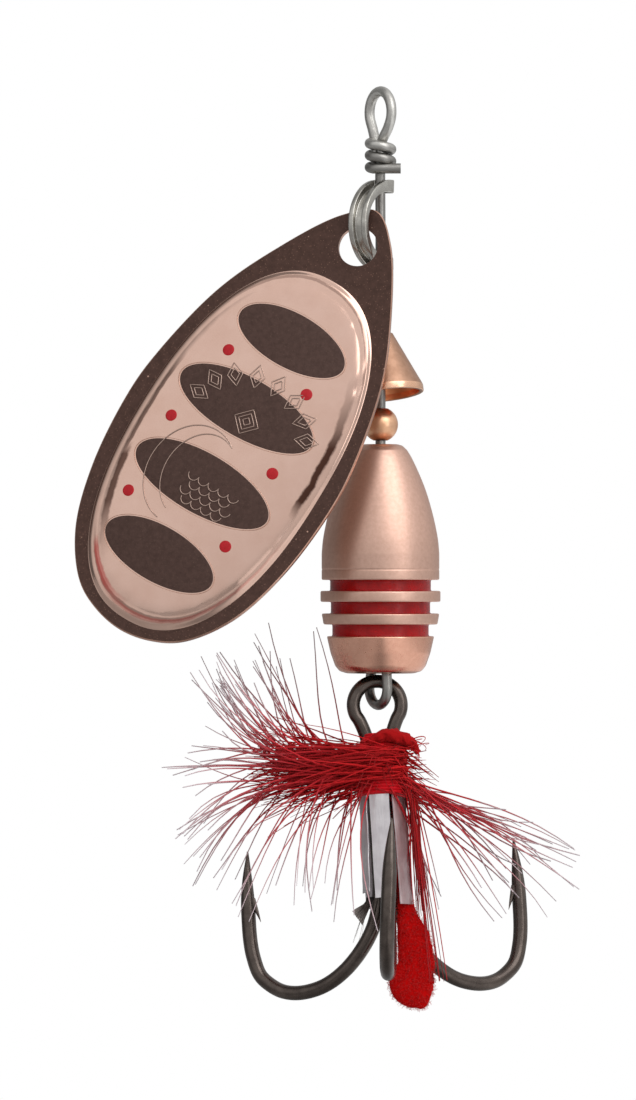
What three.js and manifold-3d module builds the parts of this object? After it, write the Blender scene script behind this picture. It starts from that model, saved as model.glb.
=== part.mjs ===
// Inline spinner: a wire shaft that carries a clevis and its blade, a cone, a bead, a
// grooved body, and a dressed treble hook. Millimetres, +Z up, +X right, -Y to the front.
// The origin is the centre of the line-tie eye at the top of the wire.
import * as THREE from "three";
import { mergeVertices } from "three/addons/utils/BufferGeometryUtils.js";
import Module from "manifold-3d";

const wasm = await Module();
wasm.setup();

// ---------- driving dimensions ----------
const RUN = 0.125; // radial running clearance of everything that turns on the wire
const TOUCH = 0.05; // gap where two pieces rest on each other

const WIRE_R = 0.35; // shaft wire
const EYE_TURN = 58; // degrees that both wire eyes are turned from the front
const EYE_W = 1.4; // half width of the line-tie eye, on the wire's centre line
const EYE_TOP = 1.52;
const WRAP_PITCH = 0.82;
const WRAP_LOW = -3.79; // height of the lowest wrap
const WRAP_R = 2 * WIRE_R + 0.04; // centre line of the wraps
const CUT_END = 1.38; // how far the cut end stands out to the right

const CLEVIS_TURN = 28; // degrees from the front towards the left
const CLEVIS_MID = -7.65; // height of the bow's outermost point
const CLEVIS_HALF = 3.12; // half height, outside
const CLEVIS_OUT = 3.5; // reach of the bow from the wire's axis, outside
const CLEVIS_BACK = 0.43; // how far behind the axis the bow's ellipse is centred
const CLEVIS_TAB = 0.74; // how far the upper tab runs past the axis
const CLEVIS_TAB_LOW = 0.64; // and the lower one
const CLEVIS_WALL = 0.2;
const CLEVIS_WIDE = 2 * (WIRE_R + RUN) + 2 * CLEVIS_WALL; // the wire runs in the channel
const FLANGE_BOW = 0.55; // flange height at the bow
const FLANGE_END = 0.92; // flange height at the tabs

const BLADE_LONG = 33.6;
const BLADE_HALF = 8.32; // half width at the widest station
const BLADE_THICK = 0.42;
const BLADE_LEAN = 29.7; // degrees in its own plane, far end to the left
const BLADE_TILT = 12; // degrees, far end to the front
const BLADE_YAW = 11; // degrees, left edge to the back
const BLADE_HOLE_R = 1.36;
const BLADE_HOLE_DOWN = 2.78; // hole centre from the tip
const BLADE_HOLE_SIDE = 0.2;
const BLADE_HOLE_AT = [-1.52, -2.24, -9.24];
const DOME_CENTRE = 19.1; // from the tip
const DOME_LONG = 13.1; // half length
const DOME_WIDE = 6.85; // half width
const DOME_STEP = 0.42; // height of the shoulder
const DOME_HIGH = 1.15; // height of the middle

const CONE_R = 2.5;
const CONE_WALL = 0.28;
const CONE_LIP = 0.45;
const CONE_SLOPE = 23.8; // half angle in degrees
const CONE_LEAN = 6.5; // degrees, right side up
const CONE_PITCH = 11; // degrees, front side up
const CONE_BORE_R = WIRE_R + 0.2;

const BEAD_R = 1.2;

const BODY_TOP = -22.65;
// The bead stands just over the body, and the cone's rim hangs just over the bead.
const BEAD_Z = BODY_TOP + Math.sqrt(BEAD_R ** 2 - (WIRE_R + RUN) ** 2) + 0.248;
const CONE_RIM_Z = BEAD_Z + BEAD_R + 0.75;
const BODY_LONG = 15.7;
const BODY_R = 4.03;
const BODY_SINK_R = 1.7; // counterbore that swallows the wire's lower loop
const BODY_SINK = 5;

const LOOP_LOW = BODY_TOP - BODY_LONG - 2.17; // centre line of the lower loop's lowest point
const LOOP_R = 1.15;
const LOOP_SIDE = -0.28; // the loop's middle beside the axis, along its own plane

const HOOK_R = 0.5; // hook wire
const RING_R = 1.64; // centre line of the hook's eye
const RING_WIRE = 0.46;
// Centre line of each hook's shank from the treble's axis: the three shanks just clear.
const SHANK_R = HOOK_R / Math.cos(Math.PI / 6) + 0.0227;
const HOOK_DROP = 19.15; // from the eye's centre to the lowest point of the bends
const HOOK_TIP = 10.1; // height of the points over the bends
const HOOK_OUT = 10.8; // reach of the points from the treble's axis
const TREBLE_AT = [-0.22, 0.05, LOOP_LOW]; // the eye hangs round the loop's lowest point
const TREBLE_SPIN = 2.8; // degrees about its own axis
const TREBLE_SWAY = 3.2; // degrees, bends to the right
const TREBLE_TILT = 8; // degrees, bends to the front

const THREAD_TOP = -2.65; // below the hook eye's centre
const THREAD_LOW = -6.3;
const THREAD_IN = SHANK_R + HOOK_R + 0.24;
const THREAD_OUT = THREAD_IN + 0.44;
const HACKLE_TURNS = 5;
const QUILL_R = 0.2;
const BARBS = 13; // barbs on each turn
const BARB_R = 0.075;
const TINSELS = 6;
const TINSEL_R = SHANK_R + HOOK_R + 0.36;
const TINSEL_THICK = 0.1;
const STEM_R = SHANK_R + 0.28; // the tail's stem lies in the valley between two shanks
const STEM_TURN = -30;

// ---------- finishes ----------
const finish = (color, roughness, metalness) =>
  new THREE.MeshStandardMaterial({ color, roughness, metalness });
const STEEL = finish(0xa8a49c, 0.3, 1);
const COPPER = finish(0xd9a58c, 0.28, 1);
const COPPER_MIRROR = finish(0xd8ab9c, 0.12, 1);
const BRONZE = finish(0x51423c, 0.3, 1);
const RED_THREAD = finish(0x8a1417, 0.5, 0);
const RED_BARB = finish(0x7d1f1f, 0.6, 0);
const RED_YARN = finish(0xa8100f, 0.9, 0);
const SILVER = finish(0xc9c6c4, 0.25, 0.8);
const SMOKE = finish(0x2c2624, 0.5, 0.3);

// ---------- helpers ----------
const rad = THREE.MathUtils.degToRad;
const V = (x, y, z) => new THREE.Vector3(x, y, z);

function solidOf(geometry) {
  const g = geometry.index ? geometry.toNonIndexed() : geometry.clone();
  const bare = new THREE.BufferGeometry();
  bare.setAttribute("position", g.getAttribute("position"));
  const merged = mergeVertices(bare, 1e-4);
  return new wasm.Manifold(
    new wasm.Mesh({
      numProp: 3,
      vertProperties: merged.attributes.position.array,
      triVerts: new Uint32Array(merged.index.array),
    }),
  );
}

function geometryOf(solid) {
  const m = solid.getMesh();
  const xyz = new Float32Array(m.numVert * 3);
  for (let i = 0; i < m.numVert; i++) {
    xyz.set(m.vertProperties.subarray(i * m.numProp, i * m.numProp + 3), i * 3);
  }
  const g = new THREE.BufferGeometry();
  g.setAttribute("position", new THREE.BufferAttribute(xyz, 3));
  g.setIndex(new THREE.BufferAttribute(new Uint32Array(m.triVerts), 1));
  g.computeVertexNormals();
  return g;
}

const joined = (geometries) =>
  geometryOf(geometries.map(solidOf).reduce((all, next) => all.add(next)));
const cut = (geometry, tool) => geometryOf(solidOf(geometry).subtract(solidOf(tool)));

function mesh(name, geometry, material) {
  const m = new THREE.Mesh(geometry, material);
  m.name = name;
  return m;
}

// A rod through a list of stations: one ring of the cylinder on each of them. `size` gives
// the section's two half sizes at a share of the way, `first` the side it starts with.
function rod(points, size, sides = 8, first = V(0, 1, 0)) {
  const g = new THREE.CylinderGeometry(1, 1, 1, sides, points.length - 1);
  const last = points.length - 1;
  const side = first.clone();
  const frames = points.map((p, i) => {
    const ahead = points[Math.min(i + 1, last)].clone();
    const along = ahead.sub(points[Math.max(i - 1, 0)]).normalize();
    side.addScaledVector(along, -side.dot(along)).normalize();
    return { p, a: side.clone(), b: side.clone().cross(along) };
  });
  const at = g.attributes.position;
  for (let i = 0; i < at.count; i++) {
    const s = at.getY(i) + 0.5;
    const f = frames[Math.round(s * last)];
    const [wa, wb] = size(s);
    const v = f.p.clone().addScaledVector(f.a, at.getX(i) * wa);
    v.addScaledVector(f.b, at.getZ(i) * wb);
    at.setXYZ(i, v.x, v.y, v.z);
  }
  return g;
}

const round = (r) => () => [r, r];
const lathe = (profile, sides) => {
  const pts = profile.map(([r, z]) => new THREE.Vector2(r, z));
  pts.push(pts[0].clone());
  return new THREE.LatheGeometry(pts, sides).rotateX(Math.PI / 2);
};

// The plane that both wire eyes lie in: `s` across it, `z` up.
const eyePlane = (s, z) =>
  V(s * Math.cos(rad(EYE_TURN)), -s * Math.sin(rad(EYE_TURN)), z);

// ---------- wire shaft: cut end, wraps, line-tie eye, shaft, lower loop, tail ----------
function wireShaft() {
  const pts = [V(CUT_END, -WRAP_R, WRAP_LOW), V(0.6, -WRAP_R, WRAP_LOW)];
  const meet = 180 - EYE_TURN; // where the wrap leaves for the eye's back limb
  const sweep = 360 * 2 + (270 - meet);
  const steps = 28;
  for (let i = 0; i <= steps; i++) {
    const turn = rad(270 - (sweep * i) / steps);
    const rise = (WRAP_PITCH * sweep * i) / steps / 360;
    const z = WRAP_LOW + Math.max(0, rise - 0.1);
    pts.push(V(WRAP_R * Math.cos(turn), WRAP_R * Math.sin(turn), z));
  }
  pts.push(eyePlane(-0.93, -1.2));
  for (let i = 0; i <= 14; i++) {
    const turn = rad(200 - (220 * i) / 14);
    const s = EYE_W * Math.cos(turn);
    pts.push(eyePlane(s, EYE_TOP - EYE_W * 1.02 + EYE_W * 1.02 * Math.sin(turn)));
  }
  pts.push(eyePlane(0.93, -1.05), eyePlane(0.42, -1.6), eyePlane(0.1, -2.05));
  const mid = LOOP_LOW + LOOP_R;
  const loop = (s, up) => eyePlane(s, LOOP_LOW + up); // heights over the loop's lowest point
  pts.push(V(0, 0, -2.6), V(0, 0, -14), loop(0, 5.12));
  pts.push(loop(0.12, 4.42), loop(0.42, 3.62), loop(0.72, 2.72));
  for (let i = 0; i <= 12; i++) {
    const turn = rad(15 - (200 * i) / 12);
    const s = LOOP_SIDE + LOOP_R * Math.cos(turn);
    pts.push(eyePlane(s, mid + LOOP_R * Math.sin(turn)));
  }
  pts.push(loop(-1.12, 2.42), loop(-0.88, 3.62), loop(-0.8, 4.72));
  pts.push(eyePlane(-0.8, BODY_TOP - BODY_LONG + BODY_SINK - TOUCH));
  return mesh("wire_shaft", rod(pts, round(WIRE_R), 10, V(0, 0, 1)), STEEL);
}

// ---------- clevis: a channel-section strip bent to a bow, pierced for the wire ----------
function clevis() {
  const half = CLEVIS_WIDE / 2;
  const w = CLEVIS_WALL;
  const reach = CLEVIS_OUT + CLEVIS_BACK;
  const steps = 22;
  const from = Math.acos((CLEVIS_BACK - CLEVIS_TAB) / reach);
  const to = Math.acos((CLEVIS_BACK - CLEVIS_TAB_LOW) / reach);
  // The channel's section: x across the strip, y outwards, 0 at the web's inner face.
  const section = new THREE.Shape();
  section.moveTo(-half, 0);
  section.lineTo(half, 0);
  section.lineTo(half, 1);
  section.lineTo(half - w, 1);
  section.lineTo(half - w, w / FLANGE_BOW);
  section.lineTo(w - half, w / FLANGE_BOW);
  section.lineTo(w - half, 1);
  section.lineTo(-half, 1);
  section.closePath();
  const g = new THREE.ExtrudeGeometry(section, { depth: 1, steps, bevelEnabled: false });
  const at = g.attributes.position;
  for (let i = 0; i < at.count; i++) {
    const s = at.getZ(i);
    const turn = from - (from + to) * s;
    const far = Math.abs(1 - 2 * s);
    const tall = FLANGE_BOW + (FLANGE_END - FLANGE_BOW) * far * far;
    const out = V(CLEVIS_HALF * Math.cos(turn), 0, reach * Math.sin(turn)).normalize();
    const r = reach * Math.cos(turn) - CLEVIS_BACK;
    const z = CLEVIS_HALF * Math.sin(turn);
    const up = at.getY(i) > 0 && at.getY(i) < 1 ? w : at.getY(i) * tall;
    const shift = up - tall;
    at.setXYZ(i, r + out.x * shift, at.getX(i), z + out.z * shift);
  }
  const bore = new THREE.CylinderGeometry(WIRE_R + RUN, WIRE_R + RUN, 20, 16);
  const m = mesh("clevis", cut(g, bore.rotateX(Math.PI / 2)), STEEL);
  m.position.z = CLEVIS_MID;
  m.rotation.z = rad(270 - CLEVIS_TURN);
  return m;
}

// ---------- blade: flat rim, stepped and domed middle, one hole near the tip ----------
function bladeOutline(count) {
  const w = BLADE_HALF;
  const l = BLADE_LONG;
  const side = [
    [0.24 * w, 0.043 * l],
    [0.577 * w, 0.174 * l],
    [0.815 * w, 0.304 * l],
    [0.971 * w, 0.478 * l],
    [w, 0.573 * l],
    [0.939 * w, 0.737 * l],
    [0.774 * w, 0.869 * l],
    [0.506 * w, 0.957 * l],
    [0.26 * w, 0.989 * l],
  ];
  const loop = [V(0, 0, 0)];
  side.forEach(([x, d]) => loop.push(V(x, -d, 0)));
  loop.push(V(0, -l, 0));
  [...side].reverse().forEach(([x, d]) => loop.push(V(-x, -d, 0)));
  return new THREE.CatmullRomCurve3(loop, true, "centripetal").getSpacedPoints(count);
}

function blade() {
  const count = 72;
  const outline = bladeOutline(count).slice(0, count);
  const rings = [
    [0.35, DOME_HIGH - 0.05],
    [0.7, DOME_HIGH - 0.26],
    [0.93, DOME_STEP],
    [1.03, 0],
    [null, 0],
  ];
  // Front and back sheets are the same rings of points, a blade's thickness apart.
  const inner = (p, share) => {
    const dx = p.x;
    const dy = p.y + DOME_CENTRE;
    const a = Math.abs(dx) / DOME_WIDE;
    const b = Math.abs(dy) / DOME_LONG;
    const k = share / Math.pow(Math.pow(a, 2.3) + Math.pow(b, 2.3), 1 / 2.3);
    return [dx * k, -DOME_CENTRE + dy * k];
  };
  const xyz = [];
  for (const back of [0, BLADE_THICK]) {
    xyz.push(0, -DOME_CENTRE, DOME_HIGH - back);
    for (const [share, z] of rings) {
      for (const p of outline) {
        const [x, y] = share === null ? [p.x, p.y] : inner(p, share);
        xyz.push(x, y, z - back);
      }
    }
  }
  const sheet = 1 + rings.length * count;
  const tri = [];
  const face = (a, b, c, back) => (back ? tri.push(a, c, b) : tri.push(a, b, c));
  for (const back of [0, 1]) {
    const base = back * sheet;
    for (let j = 0; j < count; j++) {
      const k = (j + 1) % count;
      face(base, base + 1 + k, base + 1 + j, back);
      for (let r = 0; r + 1 < rings.length; r++) {
        const a = base + 1 + r * count;
        const b = a + count;
        face(a + j, a + k, b + j, back);
        face(a + k, b + k, b + j, back);
      }
    }
  }
  const rim = 1 + (rings.length - 1) * count;
  for (let j = 0; j < count; j++) {
    const k = (j + 1) % count;
    tri.push(rim + j, rim + k, sheet + rim + j);
    tri.push(rim + k, sheet + rim + k, sheet + rim + j);
  }
  const g = new THREE.BufferGeometry();
  g.setAttribute("position", new THREE.BufferAttribute(new Float32Array(xyz), 3));
  g.setIndex(tri);
  const hole = new THREE.CylinderGeometry(BLADE_HOLE_R, BLADE_HOLE_R, 4, 28);
  hole.rotateX(Math.PI / 2).translate(BLADE_HOLE_SIDE, -BLADE_HOLE_DOWN, 0);
  const made = cut(g, hole);
  made.translate(-BLADE_HOLE_SIDE, BLADE_HOLE_DOWN, BLADE_THICK / 2);
  // Own frame: +Z is the blade's front face, -Y runs to its far end.
  made.rotateZ(-rad(BLADE_LEAN));
  made.rotateX(Math.PI / 2 - rad(BLADE_TILT));
  made.rotateZ(-rad(BLADE_YAW));
  const m = mesh("blade", made, COPPER_MIRROR);
  m.position.set(...BLADE_HOLE_AT);
  return m;
}

// ---------- cone, bead and body, all turning on the wire ----------
function soundCone() {
  const t = Math.tan(rad(CONE_SLOPE));
  const top = CONE_LIP + (CONE_R - CONE_BORE_R - CONE_WALL) / t;
  const thin = CONE_WALL / Math.cos(rad(CONE_SLOPE));
  const profile = [
    [CONE_R, 0],
    [CONE_R, CONE_LIP],
    [CONE_BORE_R + CONE_WALL, top],
    [CONE_BORE_R, top],
    [CONE_BORE_R, top - thin / t + CONE_WALL / t],
    [CONE_R - thin, CONE_LIP],
    [CONE_R - CONE_WALL, 0],
  ];
  const m = mesh("sound_cone", lathe(profile, 40), COPPER);
  // It leans about the middle of its own bore, which stays on the wire.
  const lean = rad(CONE_LEAN);
  m.geometry.translate(0, 0, -top);
  m.rotation.set(-rad(CONE_PITCH), -lean, 0, "XYZ");
  m.position.z = CONE_RIM_Z + top * Math.cos(lean);
  return m;
}

function bearingBead() {
  const bore = WIRE_R + RUN;
  const from = Math.asin(bore / BEAD_R);
  const profile = [];
  for (let i = 0; i <= 12; i++) {
    const a = Math.PI - from - ((Math.PI - 2 * from) * i) / 12;
    profile.push([BEAD_R * Math.sin(a), BEAD_R * Math.cos(a)]);
  }
  const m = mesh("bearing_bead", lathe(profile, 28), COPPER);
  m.position.z = BEAD_Z;
  return m;
}

function body() {
  const bore = WIRE_R + RUN;
  const r = BODY_R;
  const ceiling = BODY_LONG - BODY_SINK;
  // [radius, depth below the top]: shoulder, swelling, three grooves, base.
  const outside = [
    [1.15, 0],
    [1.5, 0.1],
    [1.82, 0.4],
    [2.12, 0.9],
    [2.62, 1.95],
    [3.1, 3.15],
    [3.48, 4.4],
    [3.77, 5.6],
    [3.95, 6.6],
    [r, 7.5],
    [r, 9.3],
    [3.45, 9.3],
    [3.45, 10.05],
    [r + 0.08, 10.05],
    [r + 0.08, 10.8],
    [3.4, 10.8],
    [3.4, 11.6],
    [r, 11.6],
    [3.9, 12.35],
    [3.3, 12.35],
    [3.3, 13.15],
    [3.68, 13.15],
    [3.42, 14.3],
    [3.1, 15.2],
    [2.8, 15.55],
    [2.3, BODY_LONG],
  ];
  const inside = [
    [BODY_SINK_R, BODY_LONG],
    [BODY_SINK_R, ceiling],
    [bore, ceiling],
    [bore, 0],
  ];
  const profile = [...outside, ...inside].map(([a, d]) => [a, -d]).reverse();
  const m = mesh("body", lathe(profile, 48), COPPER);
  m.position.z = BODY_TOP;
  return m;
}

// ---------- treble hook, built round its own axis with the eye's centre at 0 ----------
// One hook's centre line: u away from the axis, v above the bends, point first.
function hookLine(set = 0) {
  const bend = [
    [HOOK_OUT - 0.2, HOOK_TIP],
    [HOOK_OUT - 0.05, 8],
    [HOOK_OUT, 6.0],
    [HOOK_OUT - 0.03, 4.0],
    [HOOK_OUT - 0.2, 2.8],
    [HOOK_OUT - 0.65, 1.5],
    [9.35, 0.72],
    [8.4, 0.2],
    [7.07, 0],
    [5.3, 0.3],
    [3.7, 1.15],
    [2.3, 2.45],
    [1.3, 3.9],
    [0.8, 5.3],
    [SHANK_R, 6.8],
  ];
  // `set` is how far the point is bent sideways out of the hook's plane.
  return bend.map(([u, v]) => V(u, u > 7 ? (set * v) / HOOK_TIP : 0, v - HOOK_DROP));
}

const about = (points, degrees) =>
  points.map((p) => p.clone().applyAxisAngle(V(0, 0, 1), rad(degrees)));

// The point tapers over the first stations; the share is counted along the stations.
const hookSize = (stations) => (s) => {
  const i = Math.round(s * stations);
  const r = HOOK_R * Math.min(1, 0.12 + (0.88 * i) / 2);
  return [r, r];
};

// The barb is raised from the inner side of the point and aims back at the bend.
function barb(degrees, side = 0) {
  const g = new THREE.ConeGeometry(0.2, 1.5, 5);
  g.scale(1, 1, 0.8);
  g.rotateX(-Math.PI / 2);
  g.rotateY(rad(22));
  g.translate(HOOK_OUT - 0.52, side, 5.8 - HOOK_DROP);
  return g.rotateZ(rad(degrees));
}

const LEFT = 150;
const RIGHT = 30;
const FRONT = -96;
const FRONT_SET = 1;

function doubleHook() {
  const left = about(hookLine(), LEFT);
  const right = about(hookLine(), RIGHT).reverse();
  const top = 1.15; // the legs lie together below this many ring radii
  const ring = [];
  for (let i = 0; i <= 16; i++) {
    const turn = rad(218 - (256 * i) / 16);
    ring.push(V(RING_R * Math.cos(turn), 0, RING_R * Math.sin(turn)));
  }
  const leg = (x, y, z) => V(x, y, z);
  const near = SHANK_R * Math.cos(rad(RIGHT));
  const deep = SHANK_R * Math.sin(rad(RIGHT));
  const low = -RING_R * top;
  const pts = [
    ...left,
    leg(-near, deep, -10),
    leg(-near, deep, low - 2.1),
    leg(-near - 0.16, deep * 0.8, low - 1.3),
    leg(-0.92, deep * 0.4, low - 0.1),
    ...ring,
    leg(0.92, deep * 0.4, low - 0.1),
    leg(near + 0.16, deep * 0.8, low - 1.3),
    leg(near, deep, low - 2.1),
    leg(near, deep, -10),
    ...right,
  ];
  const last = pts.length - 1;
  const size = (s) => {
    const i = Math.round(s * last);
    const end = Math.min(i, last - i);
    const taper = Math.min(1, 0.12 + (0.88 * end) / 2);
    const r = end > left.length + 1 ? RING_WIRE : HOOK_R * taper;
    return [r, r];
  };
  const wire = rod(pts, size, 8, V(0, 1, 0));
  return mesh("double_hook", joined([wire, barb(LEFT), barb(RIGHT)]), BRONZE);
}

function singleHook() {
  const line = about(hookLine(FRONT_SET), FRONT);
  const shank = about([V(SHANK_R, 0, -10), V(SHANK_R, 0, THREAD_TOP - 0.5)], FRONT);
  line.push(...shank);
  const wire = rod(line, hookSize(line.length - 1), 8, V(1, 0, 0));
  return mesh("single_hook", joined([wire, barb(FRONT, FRONT_SET * 0.57)]), BRONZE);
}

// ---------- dressing ----------
function threadWrap() {
  const profile = [
    [THREAD_IN, THREAD_LOW],
    [THREAD_OUT - 0.2, THREAD_LOW],
    [THREAD_OUT, THREAD_LOW + 0.4],
    [THREAD_OUT, THREAD_TOP - 0.5],
    [THREAD_OUT - 0.25, THREAD_TOP],
    [THREAD_IN, THREAD_TOP],
  ];
  return mesh("thread_wrap", lathe(profile, 24), RED_THREAD);
}

// A repeatable stream of numbers from 0 to 1.
function stream(seed) {
  let a = seed;
  return () => {
    a = (a * 16807) % 2147483647;
    return a / 2147483647;
  };
}

// One turn of the hackle's quill with its barbs. They leave it straight out, then fall:
// on the left they are swept up, on the right and all round they are swept down.
function hackleTurn(index) {
  const next = stream(731 + 97 * index);
  const pitch = (THREAD_TOP - THREAD_LOW - 2 * QUILL_R - 0.4) / (HACKLE_TURNS - 1);
  const z = THREAD_TOP - 0.2 - QUILL_R - pitch * index;
  const ringR = THREAD_OUT + QUILL_R + TOUCH;
  const pieces = [new THREE.TorusGeometry(ringR, QUILL_R, 6, 24).translate(0, 0, z)];
  for (let k = 0; k < BARBS; k++) {
    const turn = (360 * (k + 0.2 * index)) / BARBS + 6 * next();
    const out = V(Math.cos(rad(turn)), Math.sin(rad(turn)), 0);
    const left = -out.x;
    const long = 8.5 + 4.5 * next() + 2 * Math.max(0, left);
    const rise = rad(-38 + 64 * Math.max(0, left) + 26 * (next() - 0.5) - 2.5 * index);
    const pts = [0, 0.25, 0.6, 1].map((s) => {
      const flat = ringR + 0.9 * Math.min(1, 4 * s) + long * s * Math.cos(rise * s);
      return V(out.x * flat, out.y * flat, z + long * s * s * Math.sin(rise));
    });
    const thin = (s) => [BARB_R * (1 - 0.5 * s), BARB_R * (1 - 0.5 * s)];
    pieces.push(rod(pts, thin, 3, V(0, 0, 1)));
  }
  return mesh("hackle_turn_" + (index + 1), joined(pieces), RED_BARB);
}

// Flat silver strands that hang round the shank from under the thread.
function tinsel(index) {
  const turn = 18 + (360 * index) / TINSELS;
  const long = 6.6 + 0.5 * (index % 3);
  const stations = [0, 0.4, 0.75, 1].map((s) =>
    V(TINSEL_R + 0.12 * s, 0, THREAD_LOW - TOUCH - long * s),
  );
  const g = new THREE.BoxGeometry(1, 1, 1, 1, stations.length - 1, 1);
  const at = g.attributes.position;
  for (let i = 0; i < at.count; i++) {
    const s = 0.5 - at.getY(i);
    const p = stations[Math.round(s * (stations.length - 1))];
    const wide = 0.98 * at.getX(i);
    at.setXYZ(i, p.x + TINSEL_THICK * at.getZ(i), wide, p.z);
  }
  g.rotateZ(rad(turn));
  return mesh("tinsel_" + (index + 1), g, SILVER);
}

// The small crimped end of the tinsel's tying wire, flared below the strands on the left.
function tinselTag() {
  const stations = [V(-1.3, -0.95, -13.5), V(-1.6, -1.02, -14), V(-2.3, -1.1, -14.75)];
  const size = (s) => [0.28 + 0.34 * s, 0.06];
  const g = rod(stations, size, 4, V(0.5, 0, -1));
  return mesh("tinsel_tag", g, SMOKE);
}

// The yarn tail: a thin stem in the valley of the shanks, then a flat leaf.
function tailYarn() {
  const stemX = STEM_R * Math.cos(rad(STEM_TURN));
  const stemY = STEM_R * Math.sin(rad(STEM_TURN));
  // [x, y, z, half width, half thickness]
  const leaf = [
    [stemX, stemY, THREAD_LOW - TOUCH, 0.18, 0.18],
    [stemX, stemY, -10, 0.18, 0.18],
    [stemX, stemY, -12.9, 0.2, 0.18],
    [1.02, -0.5, -13.7, 0.42, 0.2],
    [1.22, -0.6, -15, 0.55, 0.28],
    [1.55, -0.62, -16.3, 0.98, 0.4],
    [1.6, -0.5, -18, 1.25, 0.5],
    [1.25, -0.45, -19.3, 1.55, 0.52],
    [1.55, -0.45, -20.2, 1.2, 0.45],
    [1.8, -0.45, -20.8, 0.55, 0.25],
    [1.85, -0.45, -21.05, 0.12, 0.08],
  ];
  const pts = leaf.map(([x, y, z]) => V(x, y, z));
  const size = (s) => leaf[Math.round(s * (leaf.length - 1))].slice(3);
  return mesh("tail_yarn", rod(pts, size, 10, V(1, 0, 0)), RED_YARN);
}

function build() {
  const root = new THREE.Group();
  root.add(wireShaft(), clevis(), blade(), soundCone(), bearingBead(), body());
  const treble = new THREE.Group();
  treble.position.set(...TREBLE_AT);
  treble.rotation.set(-rad(TREBLE_TILT), -rad(TREBLE_SWAY), rad(TREBLE_SPIN), "XYZ");
  treble.add(doubleHook(), singleHook(), threadWrap());
  for (let i = 0; i < HACKLE_TURNS; i++) treble.add(hackleTurn(i));
  for (let i = 0; i < TINSELS; i++) treble.add(tinsel(i));
  treble.add(tinselTag(), tailYarn());
  root.add(treble);
  return root;
}

export default build();
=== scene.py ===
# %% [markdown]
# # An inline spinner
# A spinner is a fishing lure on a steel wire. From the top: a line-tie eye closed with
# two wraps, a clevis that carries a swinging blade, a small cone, a bead, a turned body
# with painted grooves, and a treble hook dressed with red fibres, tinsel and a felt tail.
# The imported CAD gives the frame, and every piece here is made finer in the same place.

# %% Load the frame
import math
import random
import bmesh
import bpy
from mathutils import Matrix, Vector, noise


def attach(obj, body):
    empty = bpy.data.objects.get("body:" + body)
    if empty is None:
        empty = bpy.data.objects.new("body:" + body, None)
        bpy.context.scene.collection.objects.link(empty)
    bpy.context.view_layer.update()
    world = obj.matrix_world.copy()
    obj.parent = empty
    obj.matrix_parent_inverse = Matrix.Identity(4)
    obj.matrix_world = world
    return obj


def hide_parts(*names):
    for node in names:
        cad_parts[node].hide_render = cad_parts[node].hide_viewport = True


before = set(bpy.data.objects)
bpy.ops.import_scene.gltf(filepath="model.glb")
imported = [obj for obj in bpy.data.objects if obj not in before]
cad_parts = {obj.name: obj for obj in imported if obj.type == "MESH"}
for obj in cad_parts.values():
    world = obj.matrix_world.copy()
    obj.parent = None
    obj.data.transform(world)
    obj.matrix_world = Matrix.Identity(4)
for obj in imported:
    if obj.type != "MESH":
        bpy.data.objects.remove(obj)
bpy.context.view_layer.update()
MM = 0.001

# %% [markdown]
# ## The view and the light
# A small shiny object is shot from far away with a long lens, so its near hooks look no
# larger than its far ones. The camera stands level with the middle of the lure.

# %% Camera
SENSOR = 24
DISTANCE = 0.7
SEEN_HIGH = 0.07535
LOOK_X, LOOK_Z = -0.00428, -0.0299
camera = bpy.data.objects.new("camera", bpy.data.cameras.new("camera"))
bpy.context.scene.collection.objects.link(camera)
camera.data.sensor_fit = "VERTICAL"
camera.data.sensor_height = SENSOR
camera.data.lens = SENSOR * DISTANCE / SEEN_HIGH
camera.data.clip_end = 20
camera.location = (LOOK_X, -DISTANCE, LOOK_Z)
camera.rotation_euler = (math.pi / 2, 0, 0)
bpy.context.scene.camera = camera
bpy.context.scene.view_settings.view_transform = "Standard"
print("lens", round(camera.data.lens, 1), "mm")

# %% [markdown]
# ## Helpers for node trees
# Shader trees, geometry trees and the world are all nodes joined by links. One small
# function adds a node, sets what is a number and links what is another node's output.
# The nodes that come up most, for sums, ranges, mixes and ramps, get a short name each.

# %% Functions that add nodes
def add(tree, kind, sockets=None, **settings):
    node = tree.nodes.new(kind)
    for key, value in settings.items():
        setattr(node, key, value)
    for key, value in (sockets or {}).items():
        if isinstance(value, bpy.types.NodeSocket):
            tree.links.new(value, node.inputs[key])
        else:
            node.inputs[key].default_value = value
    return node


def sum_of(tree, how, a, b=0.0, c=0.0):
    return add(tree, "ShaderNodeMath", {0: a, 1: b, 2: c}, operation=how).outputs[0]


def split(tree, vector):
    return add(tree, "ShaderNodeSeparateXYZ", {0: vector}).outputs


def joined(tree, x, y, z):
    return add(tree, "ShaderNodeCombineXYZ", {0: x, 1: y, 2: z}).outputs[0]


def between(tree, value, low, high, start=0.0, end=1.0):
    """Maps low to high onto start to end, and holds the ends."""
    sockets = {0: value, 1: low, 2: high, 3: start, 4: end}
    return add(tree, "ShaderNodeMapRange", sockets).outputs[0]


def mixed(tree, share, one, two, blend="MIX"):
    one, two = ((*c, 1) if isinstance(c, tuple) else c for c in (one, two))
    sockets = {0: share, 6: one, 7: two}
    return add(tree, "ShaderNodeMix", sockets, data_type="RGBA", blend_type=blend).outputs[2]


def ramp(tree, value, stops):
    node = add(tree, "ShaderNodeValToRGB", {0: value})
    bar = node.color_ramp
    while len(bar.elements) < len(stops):
        bar.elements.new(0.5)
    for element, (at, colour) in zip(bar.elements, stops):
        element.position = at
        element.color = (*colour, 1) if isinstance(colour, tuple) else (colour,) * 3 + (1,)
    return node.outputs[0]


print("helpers ready")

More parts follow.
